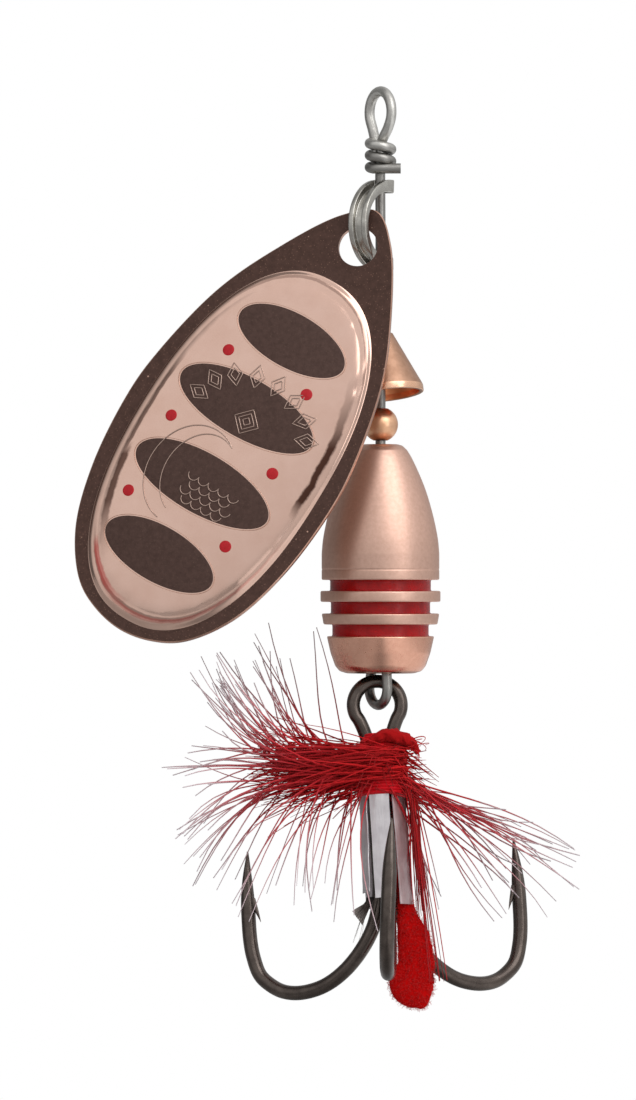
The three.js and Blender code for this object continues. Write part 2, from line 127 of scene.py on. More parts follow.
# %% [markdown]
# ## The tent
# Polished metal shows the room it stands in. Makers shoot it inside a white tent with
# dark cards at the side, which draw the edge bands. Here the world is that tent: bright
# at the front, dark at the left and its back, a faint grey card at the front right, and
# dimmer below.
# What the camera sees directly stays plain white.

# %% World
world = bpy.data.worlds.new("tent")
bpy.context.scene.world = world
world.use_nodes = True
tent = world.node_tree
tent.nodes.clear()
to_right, to_back, to_top = split(tent, add(tent, "ShaderNodeTexCoord").outputs["Generated"])
angle = sum_of(tent, "ARCTAN2", to_right, sum_of(tent, "MULTIPLY", to_back, -1.0))
way_round = sum_of(tent, "MULTIPLY_ADD", angle, 1 / (2 * math.pi), 0.5)
height = sum_of(tent, "MULTIPLY_ADD", to_top, 0.5, 0.5)
cards = ramp(tent, way_round, [
    (0.0, 0.5), (0.17, 0.3), (0.25, 0.17), (0.29, 0.6), (0.35, 0.96), (0.56, 1.0),
    (0.615, 0.82), (0.66, 0.84), (0.71, 0.98), (0.78, 1.0), (0.88, 0.7), (1.0, 0.62),
])
low_cards = ramp(tent, way_round, [
    (0.0, 0.5), (0.25, 0.2), (0.33, 0.62), (0.39, 0.55), (0.45, 0.36), (0.51, 0.34),
    (0.56, 0.75), (0.6, 1.0), (0.7, 1.0), (0.76, 0.6), (0.85, 0.5), (1.0, 0.55),
])
around = mixed(tent, between(tent, height, 0.36, 0.47), low_cards, cards)
fall = ramp(tent, height, [(0.0, 0.5), (0.35, 0.68), (0.5, 0.7), (0.68, 0.9), (1.0, 1.0)])
tone = mixed(tent, 1.0, around, fall, "MULTIPLY")
seen = add(tent, "ShaderNodeLightPath").outputs["Is Camera Ray"]
plain = add(tent, "ShaderNodeBackground", {"Color": (1, 1, 1, 1), "Strength": 1.0})
room = add(tent, "ShaderNodeBackground", {"Color": tone, "Strength": 0.95})
both = add(tent, "ShaderNodeMixShader", {0: seen, 1: room.outputs[0], 2: plain.outputs[0]})
add(tent, "ShaderNodeOutputWorld", {"Surface": both.outputs[0]})
print("world tent of", len(tent.nodes), "nodes")

# %% [markdown]
# Two soft boxes light the lure from the front right. Under it the floor has a grey card
# in front and a white one to the right, which draw the bands on the turned base.

# %% Soft boxes and the floor
LURE_MIDDLE = Vector((-0.002, 0, -0.03))
FLOOR_Z = -0.09


def soft_box(name, place, size, power):
    lamp = bpy.data.objects.new(name, bpy.data.lights.new(name, "AREA"))
    bpy.context.scene.collection.objects.link(lamp)
    lamp.data.shape = "RECTANGLE"
    lamp.data.size, lamp.data.size_y = size
    lamp.data.energy = power
    lamp.location = place
    lamp.rotation_euler = (LURE_MIDDLE - Vector(place)).to_track_quat("-Z", "Y").to_euler()


soft_box("key_box", (0.35, -0.45, 0.5), (0.6, 0.6), 2.2)
soft_box("strip_box", (0.38, -0.38, -0.13), (0.15, 0.7), 0.55)


def floor_paint():
    """Pale to the camera, and with cards on it for what the metal reflects."""
    mat = bpy.data.materials.new("pale_floor")
    mat.use_nodes = True
    tree = mat.node_tree
    skin = tree.nodes["Principled BSDF"]
    across = split(tree, add(tree, "ShaderNodeTexCoord").outputs["Object"])[0]
    tone = ramp(tree, sum_of(tree, "MULTIPLY_ADD", across, 2.5, 0.5), [
        (0.0, 0.5), (0.3, 0.42), (0.42, 0.52), (0.49, 0.27), (0.52, 0.3), (0.6, 0.95),
        (0.85, 0.95), (1.0, 0.6)])
    tree.links.new(tone, skin.inputs["Base Color"])
    skin.inputs["Roughness"].default_value = 0.9
    glow = add(tree, "ShaderNodeEmission", {"Color": (0.98, 0.98, 0.98, 1)})
    straight = add(tree, "ShaderNodeLightPath").outputs["Is Camera Ray"]
    pick = add(tree, "ShaderNodeMixShader", {0: straight, 1: skin.outputs[0], 2: glow.outputs[0]})
    tree.links.new(pick.outputs[0], tree.nodes["Material Output"].inputs[0])
    return mat


floor_mesh = bpy.data.meshes.new("floor")
floor_corners = [(x, y, FLOOR_Z) for x, y in ((-1, -1), (1, -1), (1, 0.35), (-1, 0.35))]
floor_mesh.from_pydata(floor_corners, [], [(0, 1, 2, 3)])
floor_mesh.materials.append(floor_paint())
floor = bpy.data.objects.new("floor", floor_mesh)
bpy.context.scene.collection.objects.link(floor)

# %% [markdown]
# ## Shared finishes
# Real metal is never one flat colour: it has drawing lines, turning lines, faint
# mottling and specks. Each of these is a small group, built once and used in several
# materials with its own values.

# %% Groups for mottling, specks and turning lines
def group(name, takes, gives):
    tree = bpy.data.node_groups.new(name, "ShaderNodeTree")
    for label, value in takes.items():
        socket = tree.interface.new_socket(label, in_out="INPUT", socket_type="NodeSocketFloat")
        socket.default_value = value
    tree.interface.new_socket(gives, in_out="OUTPUT", socket_type="NodeSocketFloat")
    into = tree.nodes.new("NodeGroupInput")
    out = tree.nodes.new("NodeGroupOutput")
    return tree, into.outputs, out.inputs[0]


def place(tree):
    return add(tree, "ShaderNodeTexCoord").outputs["Object"]


mottle, take, give = group("mottle", {"Scale": 900, "Low": 0.35, "High": 0.65}, "Mask")
cloud = add(mottle, "ShaderNodeTexNoise", {"Vector": place(mottle), "Scale": take["Scale"],
                                           "Detail": 6, "Roughness": 0.62})
mottle.links.new(between(mottle, cloud.outputs[0], take["Low"], take["High"]), give)

specks, take, give = group("specks", {"Scale": 3500, "Amount": 0.2}, "Mask")
grain = add(specks, "ShaderNodeTexVoronoi", {"Vector": place(specks), "Scale": take["Scale"]})
specks.links.new(sum_of(specks, "LESS_THAN", grain.outputs["Distance"], take["Amount"]), give)

lines, take, give = group("turning_lines", {"Fine": 9000, "Broad": 300}, "Height")
x, y, z = split(lines, place(lines))
stretched = joined(lines, sum_of(lines, "MULTIPLY", x, take["Broad"]),
                   sum_of(lines, "MULTIPLY", y, take["Broad"]),
                   sum_of(lines, "MULTIPLY", z, take["Fine"]))
cuts = add(lines, "ShaderNodeTexNoise",
           {"Vector": stretched, "Scale": 1.0, "Detail": 3, "Roughness": 0.6})
lines.links.new(cuts.outputs[0], give)
print("groups", [g.name for g in bpy.data.node_groups if g.bl_idname == "ShaderNodeTree"])

# %% [markdown]
# ## Materials
# Each finish starts from one Principled surface. Two colours are mixed by a mottled mask,
# the roughness is varied by the same mask, and a fine height makes the light break up.

# %% A material from two colours, a mask and a height
def surface(name, **fixed):
    mat = bpy.data.materials.new(name)
    mat.use_nodes = True
    skin = mat.node_tree.nodes["Principled BSDF"]
    for label, value in fixed.items():
        key = label.replace("_", " ").title().replace("Ior", "IOR")
        skin.inputs[key].default_value = value
    return mat, mat.node_tree, skin


def use(tree, made, **values):
    node = add(tree, "ShaderNodeGroup", node_tree=made)
    for label, value in values.items():
        node.inputs[label.title()].default_value = value
    return node.outputs[0]


def finish(name, one, two, rough, mask, grain, strength, deep=2e-5, **fixed):
    """The mask is the values of a mottle, and the grain is a group with its values."""
    mat, tree, skin = surface(name, **fixed)
    share = use(tree, mottle, **mask)
    tree.links.new(mixed(tree, share, one, two), skin.inputs["Base Color"])
    if rough:
        tree.links.new(between(tree, share, 0.0, 1.0, *rough), skin.inputs["Roughness"])
    relief, values = grain
    bump = add(tree, "ShaderNodeBump", {"Height": use(tree, relief, **values),
                                        "Strength": strength, "Distance": deep})
    tree.links.new(bump.outputs[0], skin.inputs["Normal"])
    return mat


def laid_over(mat, share, colour):
    """Lays a colour over the material's own one, where the share is high."""
    tree, skin = mat.node_tree, mat.node_tree.nodes["Principled BSDF"]
    own = skin.inputs["Base Color"].links[0].from_socket
    tree.links.new(mixed(tree, share, own, colour), skin.inputs["Base Color"])


def metal(name, one, two, rough, scale=900, fine=None, strength=0.15):
    if fine:
        grain = lines, dict(fine=fine, broad=fine / 30)
    else:
        grain = mottle, dict(scale=scale * 5, low=0.2, high=0.8)
    return finish(name, one, two, rough, dict(scale=scale), grain, strength, metallic=1.0)


def wire_steel():
    """Satin steel, darkened from the wraps down by painted shade; the eye keeps the plain steel
    colour.
    """
    mat = metal("satin_steel_wire", (0.70, 0.69, 0.655), (0.50, 0.485, 0.46), (0.30, 0.42))
    tree = mat.node_tree
    painted_shade_below_eye = between(tree, split(tree, place(tree))[2], -1.8 * MM, -2.9 * MM, 0.0, 0.68)
    # painted shade: a dark grey laid over the wire below the eye
    laid_over(mat, painted_shade_below_eye, (0.17, 0.16, 0.15))
    return mat


steel = wire_steel()
clevis_steel = metal("stamped_steel", (0.60, 0.585, 0.54), (0.44, 0.42, 0.385), (0.24, 0.36), 1500)
bare_edge = metal("bare_copper_edge", (0.66, 0.40, 0.31), (0.52, 0.29, 0.21), (0.25, 0.35))
body_copper = metal("turned_copper", (0.73, 0.475, 0.38), (0.665, 0.42, 0.33), (0.40, 0.46), 3800,
                    16000, 0.12)
# the base is the body's own copper, given a brighter, redder colour as painted light on its
# down-facing side
base_copper_painted_light = metal("base_copper_painted_light", (0.84, 0.46, 0.335), (0.78, 0.41, 0.295), (0.22, 0.28), 3200,
                    16000, 0.03)
cone_copper = metal("satin_copper", (0.56, 0.33, 0.225), (0.46, 0.26, 0.17), (0.34, 0.44), 1800,
                    12000, 0.2)
# the lip is the cone's own copper, smoother and much brighter: partly real polish, partly a
# painted highlight
lip_copper_painted_highlight = metal("polished_lip_painted_highlight", (0.92, 0.57, 0.385), (0.83, 0.49, 0.325), (0.2, 0.3), 1500)
# orange copper for the cone's inside: a painted reflection of its copper walls in each other
cone_inside_painted_reflection = metal("cone_inside_painted_reflection", (0.95, 0.38, 0.18), (0.85, 0.30, 0.13), (0.3, 0.4))
bead_copper = metal("bead_copper", (0.94, 0.58, 0.37), (0.80, 0.44, 0.26), (0.32, 0.42), 1200)
engraved = metal("raised_line", (0.50, 0.36, 0.30), (0.40, 0.28, 0.235), (0.22, 0.34), 1500)
print("metals", [m.name for m in bpy.data.materials if m.name != "pale_floor"])

# %% [markdown]
# Dark brown bands are painted into the bend of the shoulder, as painted dark reflections
# of the room's dark side in the steep shoulder. The blade's points know how far out they lie
# ("share"), the place on the way round comes from the flat map of the face, and together they
# give soft bands. A little of the red paint of the dots is smeared in the lower bend as well.

# %% Dome finish
# Distances on the blade, in millimetres, from the tip where its outline starts: to the
# middle of the hole, which is the blade's own origin, and to the middle of the dome.
HOLE_SIDE, HOLE_DOWN, DOME_MIDDLE = 0.2, 2.78, 19.25
# Painted dark reflections and red smears: (share, half width, start on the way round, run of it,
# depth).
PAINTED_DARK_REFLECTIONS = [(0.925, 0.044, 0.950, 0.22, 1.0), (0.935, 0.026, 0.40, 0.27, 0.75),
          (0.915, 0.042, 0.570, 0.13, 0.9), (0.99, 0.014, 0.66, 0.2, 0.6),
          (1.01, 0.012, 0.12, 0.3, 0.45)]
SMEARS = [(0.98, 0.024, 0.675, 0.07, 0.6), (1.0, 0.014, 0.71, 0.22, 0.38)]


def streaks(tree, share, way, rows):
    """Soft bands of the share, each from one place on the way round and over a run of it."""
    most = 0.0
    for middle, wide, start, run, deep in rows:
        rag = use(tree, mottle, scale=650, low=0.3, high=0.7)
        at = sum_of(tree, "MULTIPLY_ADD", rag, wide * 0.7, share)
        off = sum_of(tree, "ABSOLUTE", sum_of(tree, "SUBTRACT", at, middle + wide * 0.35))
        band = between(tree, off, wide, wide * 0.55, 0.0, deep)
        gone = sum_of(tree, "FRACT", sum_of(tree, "SUBTRACT", way, start))
        rise = between(tree, gone, 0.0, run * 0.15)
        drop_off = between(tree, gone, run, run * 0.6)
        here = sum_of(tree, "MULTIPLY", band, sum_of(tree, "MULTIPLY", rise, drop_off))
        most = sum_of(tree, "MAXIMUM", most, here)
    return most


def polished():
    mat = metal("polished_copper", (0.755, 0.515, 0.425), (0.715, 0.475, 0.385), (0.10, 0.17),
                500, strength=0.05)
    tree = mat.node_tree
    share = add(tree, "ShaderNodeAttribute", attribute_name="share").outputs["Fac"]
    x, y, _ = split(tree, add(tree, "ShaderNodeUVMap", uv_map="face_mm").outputs[0])
    angle = sum_of(tree, "ARCTAN2", sum_of(tree, "ADD", y, DOME_MIDDLE - HOLE_DOWN),
                   sum_of(tree, "ADD", x, HOLE_SIDE))
    way = sum_of(tree, "FRACT", sum_of(tree, "DIVIDE", angle, 2 * math.pi))
    # painted dark reflection: a dark brown laid into the shoulder's bend
    laid_over(mat, streaks(tree, share, way, PAINTED_DARK_REFLECTIONS), (0.09, 0.04, 0.028))
    laid_over(mat, streaks(tree, share, way, SMEARS), (0.50, 0.03, 0.03))
    return mat


mirror = polished()
print("dome finish of", len(mirror.node_tree.nodes), "nodes")

# %% [markdown]
# The hooks have a dark bronze lacquer over steel, the rim of the blade a satin brown one,
# and the grooves and the ovals are paint. Lacquer is a dark base under a clear coat.

# %% Lacquers and paints
def lacquer(name, one, two, rough, scale, metallic=0.0, coat=0.0):
    return finish(name, one, two, rough, dict(scale=scale), (mottle, dict(scale=scale * 2.5)),
                  0.12, metallic=metallic, coat_weight=coat, coat_roughness=0.12,
                  specular_ior_level=0.3)


def speckled(mat, scale, amount, colour):
    laid_over(mat, use(mat.node_tree, specks, scale=scale, amount=amount), colour)


hook_bronze = lacquer("hook_bronze", (0.118, 0.094, 0.081), (0.074, 0.057, 0.049), (0.2, 0.3),
                      1200, 0.9, 0.3)
rim_brown = lacquer("rim_brown", (0.082, 0.040, 0.030), (0.060, 0.029, 0.021), (0.42, 0.54),
                    2500, 0.35)
oval_brown = lacquer("oval_brown", (0.078, 0.039, 0.030), (0.058, 0.028, 0.021), (0.45, 0.6),
                     3000, 0.1)
groove_red = lacquer("groove_red", (0.46, 0.002, 0.003), (0.33, 0.001, 0.002), (0.25, 0.35), 1500)
dot_red = lacquer("dot_red", (0.50, 0.008, 0.016), (0.40, 0.006, 0.010), (0.4, 0.5), 3000)
speckled(oval_brown, 6000, 0.13, (0.12, 0.07, 0.05))
# The rim has a fine speck, then small bright chips in the lacquer, where copper shows.
speckled(rim_brown, 5200, 0.17, (0.17, 0.09, 0.065))
speckled(rim_brown, 520, 0.035, (0.48, 0.29, 0.22))
speckled(rim_brown, 1300, 0.045, (0.48, 0.29, 0.22))
print("lacquers ready")

# %% [markdown]
# Fibres change along their length: red where they are tied in, dusky in the middle and
# grey at the tip. Each strand carries two numbers on its points, how far along it a point
# is and its own shade, and the material reads both.

# %% Fibres, felt and film
def fibre(name, stops, rough=0.6, dark=0.6):
    mat, tree, skin = surface(name, roughness=rough, sheen_weight=0.05, sheen_roughness=0.4,
                              specular_ior_level=0.12)
    along = add(tree, "ShaderNodeAttribute", attribute_name="along").outputs["Fac"]
    shade = add(tree, "ShaderNodeAttribute", attribute_name="shade").outputs["Fac"]
    level = between(tree, shade, 0.0, 1.0, dark, 1.25)
    colour = mixed(tree, 1.0, ramp(tree, along, stops), joined(tree, level, level, level),
                   "MULTIPLY")
    tree.links.new(colour, skin.inputs["Base Color"])
    return mat


def felt(name, one, two):
    return finish(name, one, two, None, dict(scale=1800, low=0.3, high=0.7),
                  (mottle, dict(scale=5000, low=0.2, high=0.8)), 0.14, 3e-5, roughness=0.95,
                  sheen_weight=0.03, sheen_roughness=0.5, specular_ior_level=0.05)


def film(name, one, two):
    return finish(name, one, two, (0.3, 0.42), dict(scale=700, low=0.3, high=0.7),
                  (lines, dict(fine=250, broad=4200)), 0.5, 6e-5, metallic=0.75)


hackle_red = fibre("hackle_red", [
    (0.0, (0.56, 0.010, 0.014)), (0.45, (0.54, 0.022, 0.030)), (0.68, (0.54, 0.100, 0.115)),
    (0.84, (0.60, 0.36, 0.38)), (1.0, (0.64, 0.56, 0.59)),
], dark=0.8)
mat_red = fibre("mat_red", [
    (0.0, (0.52, 0.008, 0.010)), (0.6, (0.49, 0.010, 0.013)), (1.0, (0.42, 0.018, 0.022)),
], dark=0.55)
thread_red = fibre("thread_red", [(0.0, (0.66, 0.006, 0.014)), (1.0, (0.58, 0.005, 0.012))],
                   0.45, 1.0)
tag_fibre = fibre("tag_smoke", [
    (0.0, (0.018, 0.014, 0.013)), (0.6, (0.06, 0.045, 0.04)), (1.0, (0.30, 0.26, 0.24)),
], 0.4)
fuzz_red = fibre("fuzz_red", [(0.0, (0.56, 0.004, 0.004)), (1.0, (0.60, 0.030, 0.030))], dark=1.0)
tail_red = felt("tail_felt", (0.56, 0.003, 0.003), (0.50, 0.002, 0.002))
head_red = felt("head_thread", (0.46, 0.010, 0.011), (0.34, 0.006, 0.007))
silver = film("lilac_silver_film", (0.74, 0.71, 0.725), (0.56, 0.525, 0.55))
pink_silver = film("pink_silver_film", (0.84, 0.74, 0.75), (0.62, 0.48, 0.49))
print("soft finishes ready")

# %% [markdown]
# ## Making shapes
# Most of a spinner is round. Two shapes cover it: a tube that follows a smooth path, for
# wire and hooks, and a profile turned on a lathe, for the cone, bead and body. Both are
# closed meshes, made in millimetres in the piece's own frame and placed at the end.

# %% Smooth paths and tubes
def smooth(points, steps, closed=False):
    """A smooth path through the points (a centripetal Catmull-Rom curve)."""
    p = [Vector(q) for q in points]
    n = len(p)
    path = []
    for i in range(n if closed else n - 1):
        b, c = p[i], p[(i + 1) % n]
        a = p[i - 1] if closed or i else b * 2 - c
        d = p[(i + 2) % n] if closed or i + 2 < n else c * 2 - b
        t = [0.0]
        for u, v in ((a, b), (b, c), (c, d)):
            t.append(t[-1] + max((v - u).length, 1e-9) ** 0.5)
        for k in range(steps):
            s = t[1] + (t[2] - t[1]) * k / steps
            e = a.lerp(b, (s - t[0]) / (t[1] - t[0]))
            f = b.lerp(c, (s - t[1]) / (t[2] - t[1]))
            g = c.lerp(d, (s - t[2]) / (t[3] - t[2]))
            h = e.lerp(f, (s - t[0]) / (t[2] - t[0]))
            j = f.lerp(g, (s - t[1]) / (t[3] - t[1]))
            path.append(h.lerp(j, (s - t[1]) / (t[2] - t[1])))
    if not closed:
        path.append(p[-1].copy())
    return path


def lengths(path):
    run = [0.0]
    for a, b in zip(path, path[1:]):
        run.append(run[-1] + (b - a).length)
    return run


def tube(path, size, sides=16, first=(0, 1, 0)):
    """Rings along a path, closed with a fan at each end. size(length run, whole length)
    gives the two half sizes of the section."""
    run = lengths(path)
    last = len(path) - 1
    side = Vector(first)
    verts, faces = [], []
    for i, at in enumerate(path):
        along = (path[min(i + 1, last)] - path[max(i - 1, 0)]).normalized()
        side = (side - along * side.dot(along)).normalized()
        other = along.cross(side)
        a, b = size(run[i], run[-1])
        for k in range(sides):
            angle = 2 * math.pi * k / sides
            verts.append(at + side * (a * math.cos(angle)) + other * (b * math.sin(angle)))
    for i in range(last):
        for k in range(sides):
            j = (k + 1) % sides
            faces.append((i * sides + k, i * sides + j, (i + 1) * sides + j, (i + 1) * sides + k))
    for ring, end in ((0, path[0]), (last, path[-1])):
        verts.append(end.copy())
        for k in range(sides):
            faces.append((len(verts) - 1, ring * sides + k, ring * sides + (k + 1) % sides))
    return verts, faces


def even(r):
    return lambda run, whole: (r, r)


print("a smooth path of", len(smooth([(0, 0, 0), (1, 0, 0), (1, 1, 0)], 8)), "points")

# %% Turned profiles
def eased(profile, radius=0.05, steps=4):
    """Rounds each corner of a closed profile a little, as a real tool and polish do."""
    out = []
    for i, here in enumerate(profile):
        here = Vector(here)
        before, after = Vector(profile[i - 1]), Vector(profile[(i + 1) % len(profile)])
        one = here + (before - here).normalized() * min(radius, (before - here).length * 0.4)
        two = here + (after - here).normalized() * min(radius, (after - here).length * 0.4)
        for k in range(steps + 1):
            s = k / steps
            out.append(one.lerp(here, s).lerp(here.lerp(two, s), s))
    return out


def turned(profile, sides=128):
    """Spins a closed profile of (radius, height) about the vertical axis."""
    n = len(profile)
    verts, faces = [], []
    for k in range(sides):
        angle = 2 * math.pi * k / sides
        verts += [(r * math.cos(angle), r * math.sin(angle), z) for r, z in profile]
    for k in range(sides):
        a, b = k * n, ((k + 1) % sides) * n
        for i in range(n):
            j = (i + 1) % n
            faces.append((a + i, b + i, b + j, a + j))
    return verts, faces


print("an eased square has", len(eased([(1, 0), (2, 0), (2, 1), (1, 1)])), "points")

# %% [markdown]
# Every finished piece is a mesh whose place is in its points, in metres, riding on the
# CAD body that it belongs to and standing for the CAD node of the same part.

# %% Place a piece and hand it to its body
SAME_POINT = 1e-5


def mesh_of(name, verts, faces, place_at=None, metres=True):
    mesh = bpy.data.meshes.new(name)
    mesh.from_pydata([tuple(v) for v in verts], [], faces)
    work = bmesh.new()
    work.from_mesh(mesh)
    bmesh.ops.remove_doubles(work, verts=work.verts, dist=SAME_POINT)
    bmesh.ops.recalc_face_normals(work, faces=work.faces)
    work.to_mesh(mesh)
    work.free()
    if metres:
        mesh.transform(Matrix.Scale(MM, 4) @ (place_at or Matrix()))
    return mesh


def keep(name, mesh, body, nodes=(), materials=(), sharp=38):
    obj = bpy.data.objects.new(name, mesh)
    bpy.context.scene.collection.objects.link(obj)
    if len(mesh.materials) and materials:
        mesh.materials.clear()
    for m in materials:
        mesh.materials.append(m)
    if sharp:
        mesh.shade_smooth()
        mesh.set_sharp_from_angle(angle=math.radians(sharp))
    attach(obj, body)
    if nodes:
        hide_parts(*nodes)
    print(name, len(mesh.polygons), "faces")
    return obj


def turn(axis, degrees):
    return Matrix.Rotation(math.radians(degrees), 4, axis)


TREBLE_AT, BLADE_AT = Vector((-0.22, 0.05, -40.52)), Vector((-1.52, -2.24, -9.24))
TREBLE = Matrix.Translation(TREBLE_AT) @ turn("X", -8) @ turn("Y", -3.2) @ turn("Z", 2.8)
BLADE = Matrix.Translation(BLADE_AT) @ turn("Z", -11) @ turn("X", 78) @ turn("Z", -29.7)
print("frames for the treble and the blade ready")

# %% [markdown]
# ## The wire shaft
# One piece of spring steel wire: its cut end, two tight wraps round itself, the line-tie
# eye, the straight shaft and the lower eye, whose tail hides inside the body. It is bent
# on a peg by hand, so it is a single tube along one path, with a flat cut end.

# %% Wire shaft
WIRE_R = 0.35
BORE_R = 0.475          # of every piece that runs on the wire
EYE_TURNED = 58
WRAP_R, WRAP_PITCH, WRAP_LOW = 0.74, 0.82, -3.79
EYE_WIDE, EYE_TALL, EYE_MIDDLE = 1.4, 1.428, 1.52 - 1.428
LOW_EYE_R, LOW_EYE_MIDDLE = 1.15, -39.37


def eye_plane(s, z):
    """A place in the upright plane of the eyes, s out from the shaft at the height z."""
    turned_by = math.radians(EYE_TURNED)
    return (s * math.cos(turned_by), -s * math.sin(turned_by), z)


def wire_path():
    points = [(1.38, -WRAP_R, WRAP_LOW), (0.6, -WRAP_R, WRAP_LOW)]
    sweep, steps = 360 * 2 + (270 - (180 - EYE_TURNED)), 56
    for i in range(steps + 1):
        a = math.radians(270 - sweep * i / steps)
        rise = max(0, WRAP_PITCH * sweep * i / steps / 360 - 0.1)
        points.append((WRAP_R * math.cos(a), WRAP_R * math.sin(a), WRAP_LOW + rise))
    points.append(eye_plane(-0.93, -1.2))
    for i in range(15):
        a = math.radians(200 - 220 * i / 14)
        points.append(eye_plane(EYE_WIDE * math.cos(a), EYE_MIDDLE + EYE_TALL * math.sin(a)))
    points += [eye_plane(0.93, -1.05), eye_plane(0.42, -1.6), eye_plane(0.1, -2.05)]
    points += [(0, 0, -2.6), (0, 0, -8), (0, 0, -14), (0, 0, -25), (0, 0, -35.4)]
    points += [eye_plane(0.12, -36.1), eye_plane(0.42, -36.9), eye_plane(0.72, -37.8)]
    for i in range(13):
        a = math.radians(15 - 200 * i / 12)
        points.append(eye_plane(-0.28 + LOW_EYE_R * math.cos(a),
                                LOW_EYE_MIDDLE + LOW_EYE_R * math.sin(a)))
    points += [eye_plane(-1.12, -38.1), eye_plane(-0.88, -36.9), eye_plane(-0.8, -35.8)]
    points.append(eye_plane(-0.8, -33.4))
    return smooth(points, 5)


wire_mesh = mesh_of("wire_shaft", *tube(wire_path(), even(WIRE_R), 20, (0, 0, 1)))
keep("wire_shaft_fine", wire_mesh, "wire", ["wire_shaft"], [steel])

# %% [markdown]
# ## The clevis
# A strip with its long edges folded up into a channel, bent to a bow and pierced at both
# ends for the wire. The channel's walls look outwards, so its inside shows as a dark line.

# %% Clevis
CLEVIS_Z, CLEVIS_TURNED = -7.65, 242


def clevis_shape():
    """Sweeps the channel's section round half an oval. Its walls are tallest at its ends."""
    half, wall, web = 0.675, 0.37, 0.2
    reach, rise, mid = 3.93, 3.12, 0.43
    start = math.acos((mid - 0.74) / reach)
    end = math.acos((mid - 0.64) / reach)
    section = eased([(-half, 0), (half, 0), (half, 1), (half - wall, 1), (half - wall, web),
                     (wall - half, web), (wall - half, 1), (-half, 1)], 0.12, 4)
    n, steps = len(section), 96
    verts, faces = [], []
    for i in range(steps + 1):
        s = i / steps
        a = start - (start + end) * s
        tall = 0.55 + 0.37 * (1 - 2 * s) ** 2
        out = Vector((rise * math.cos(a), 0, reach * math.sin(a))).normalized()
        for x, y in section:
            lift = (y * tall if y >= 0.5 else y) - tall
            verts.append((reach * math.cos(a) - mid + out.x * lift, x,
                          rise * math.sin(a) + out.z * lift))
    for i in range(steps):
        for k in range(n):
            j = (k + 1) % n
            faces.append((i * n + k, i * n + j, (i + 1) * n + j, (i + 1) * n + k))
    faces += [tuple(range(n)), tuple(steps * n + k for k in reversed(range(n)))]
    return verts, faces


def pierced(mesh, radius, deep):
    """Cuts a round upright hole through a mesh, still in millimetres, at its own origin."""
    hole = bpy.data.meshes.new("hole")
    work = bmesh.new()
    bmesh.ops.create_cone(work, cap_ends=True, segments=72, radius1=radius, radius2=radius,
                          depth=deep)
    work.to_mesh(hole)
    work.free()
    tool = bpy.data.objects.new("hole", hole)
    part = bpy.data.objects.new("part", mesh)
    for o in (tool, part):
        bpy.context.scene.collection.objects.link(o)
    cutter = part.modifiers.new("hole", "BOOLEAN")
    cutter.operation, cutter.solver, cutter.object = "DIFFERENCE", "EXACT", tool
    seen_by = bpy.context.evaluated_depsgraph_get()
    made = bpy.data.meshes.new_from_object(part.evaluated_get(seen_by),
                                           preserve_all_data_layers=True, depsgraph=seen_by)
    for o in (tool, part):
        bpy.data.objects.remove(o)
    return made


clevis_mesh = pierced(mesh_of("clevis_bare", *clevis_shape(), metres=False), BORE_R, 20)
clevis_mesh.transform(Matrix.Scale(MM, 4) @ Matrix.Translation((0, 0, CLEVIS_Z))
                      @ turn("Z", CLEVIS_TURNED))
keep("clevis_fine", clevis_mesh, "clevis", ["clevis"], [clevis_steel], 40)

# %% [markdown]
# ## The blade
# A stamped copper blade: a flat lacquered rim, a rolled shoulder, then a polished dome.
# It follows a rule, so it is a sheet of rings round the dome's middle: the height comes
# from how far out a ring lies. The faces know their finish by the ring they are in.

# %% Blade outline and height
BLADE_LONG, BLADE_HALF, BLADE_THICK = 33.6, 8.32, 0.42
DOME_LONG, DOME_WIDE, BOX_POWER = 12.95, 6.85, 2.3
DOME_FOOT, FOOT_STEP, DOME_STEP, DOME_HIGH = 1.05, 0.16, 0.42, 1.15
EDGE_ROUND, HOLE_R = 0.07, 1.36
DOMED, RIM, EDGE, BACK = range(4)


def blade_outline(count):
    side = [(0.24, 0.043), (0.577, 0.174), (0.815, 0.304), (0.971, 0.478), (1, 0.573),
            (0.939, 0.737), (0.774, 0.869), (0.506, 0.957), (0.26, 0.989)]
    right = [(x * BLADE_HALF, -d * BLADE_LONG, 0) for x, d in side]
    left = [(-x, y, z) for x, y, z in reversed(right)]
    fine = smooth([(0, 0, 0), *right, (0, -BLADE_LONG, 0), *left], 24, True)
    fine.append(fine[0])
    run = lengths(fine)
    even_points, i = [], 0
    for k in range(count):
        want = run[-1] * k / count
        while run[i + 1] < want:
            i += 1
        even_points.append(fine[i].lerp(fine[i + 1], (want - run[i]) / (run[i + 1] - run[i])))
    return even_points


def blade_height(share, swing):
    """How high the dome stands at a share of the way out to its foot; swing varies the
    roll of the shoulder a little on its way round."""
    if share >= DOME_FOOT:
        return 0.0
    foot = min(1.0, (DOME_FOOT - share) / 0.03)
    step = FOOT_STEP * foot * foot * (3 - 2 * foot)
    over = max(0.0, min(1.0, (1.03 - share) / (0.13 + 0.03 * swing)))
    shoulder = (DOME_STEP - FOOT_STEP) * math.sin(over * math.pi / 2) ** 0.8
    crown = max(0.0, 1 - (share / 0.97) ** 2)
    return step + shoulder + (DOME_HIGH - DOME_STEP) * crown


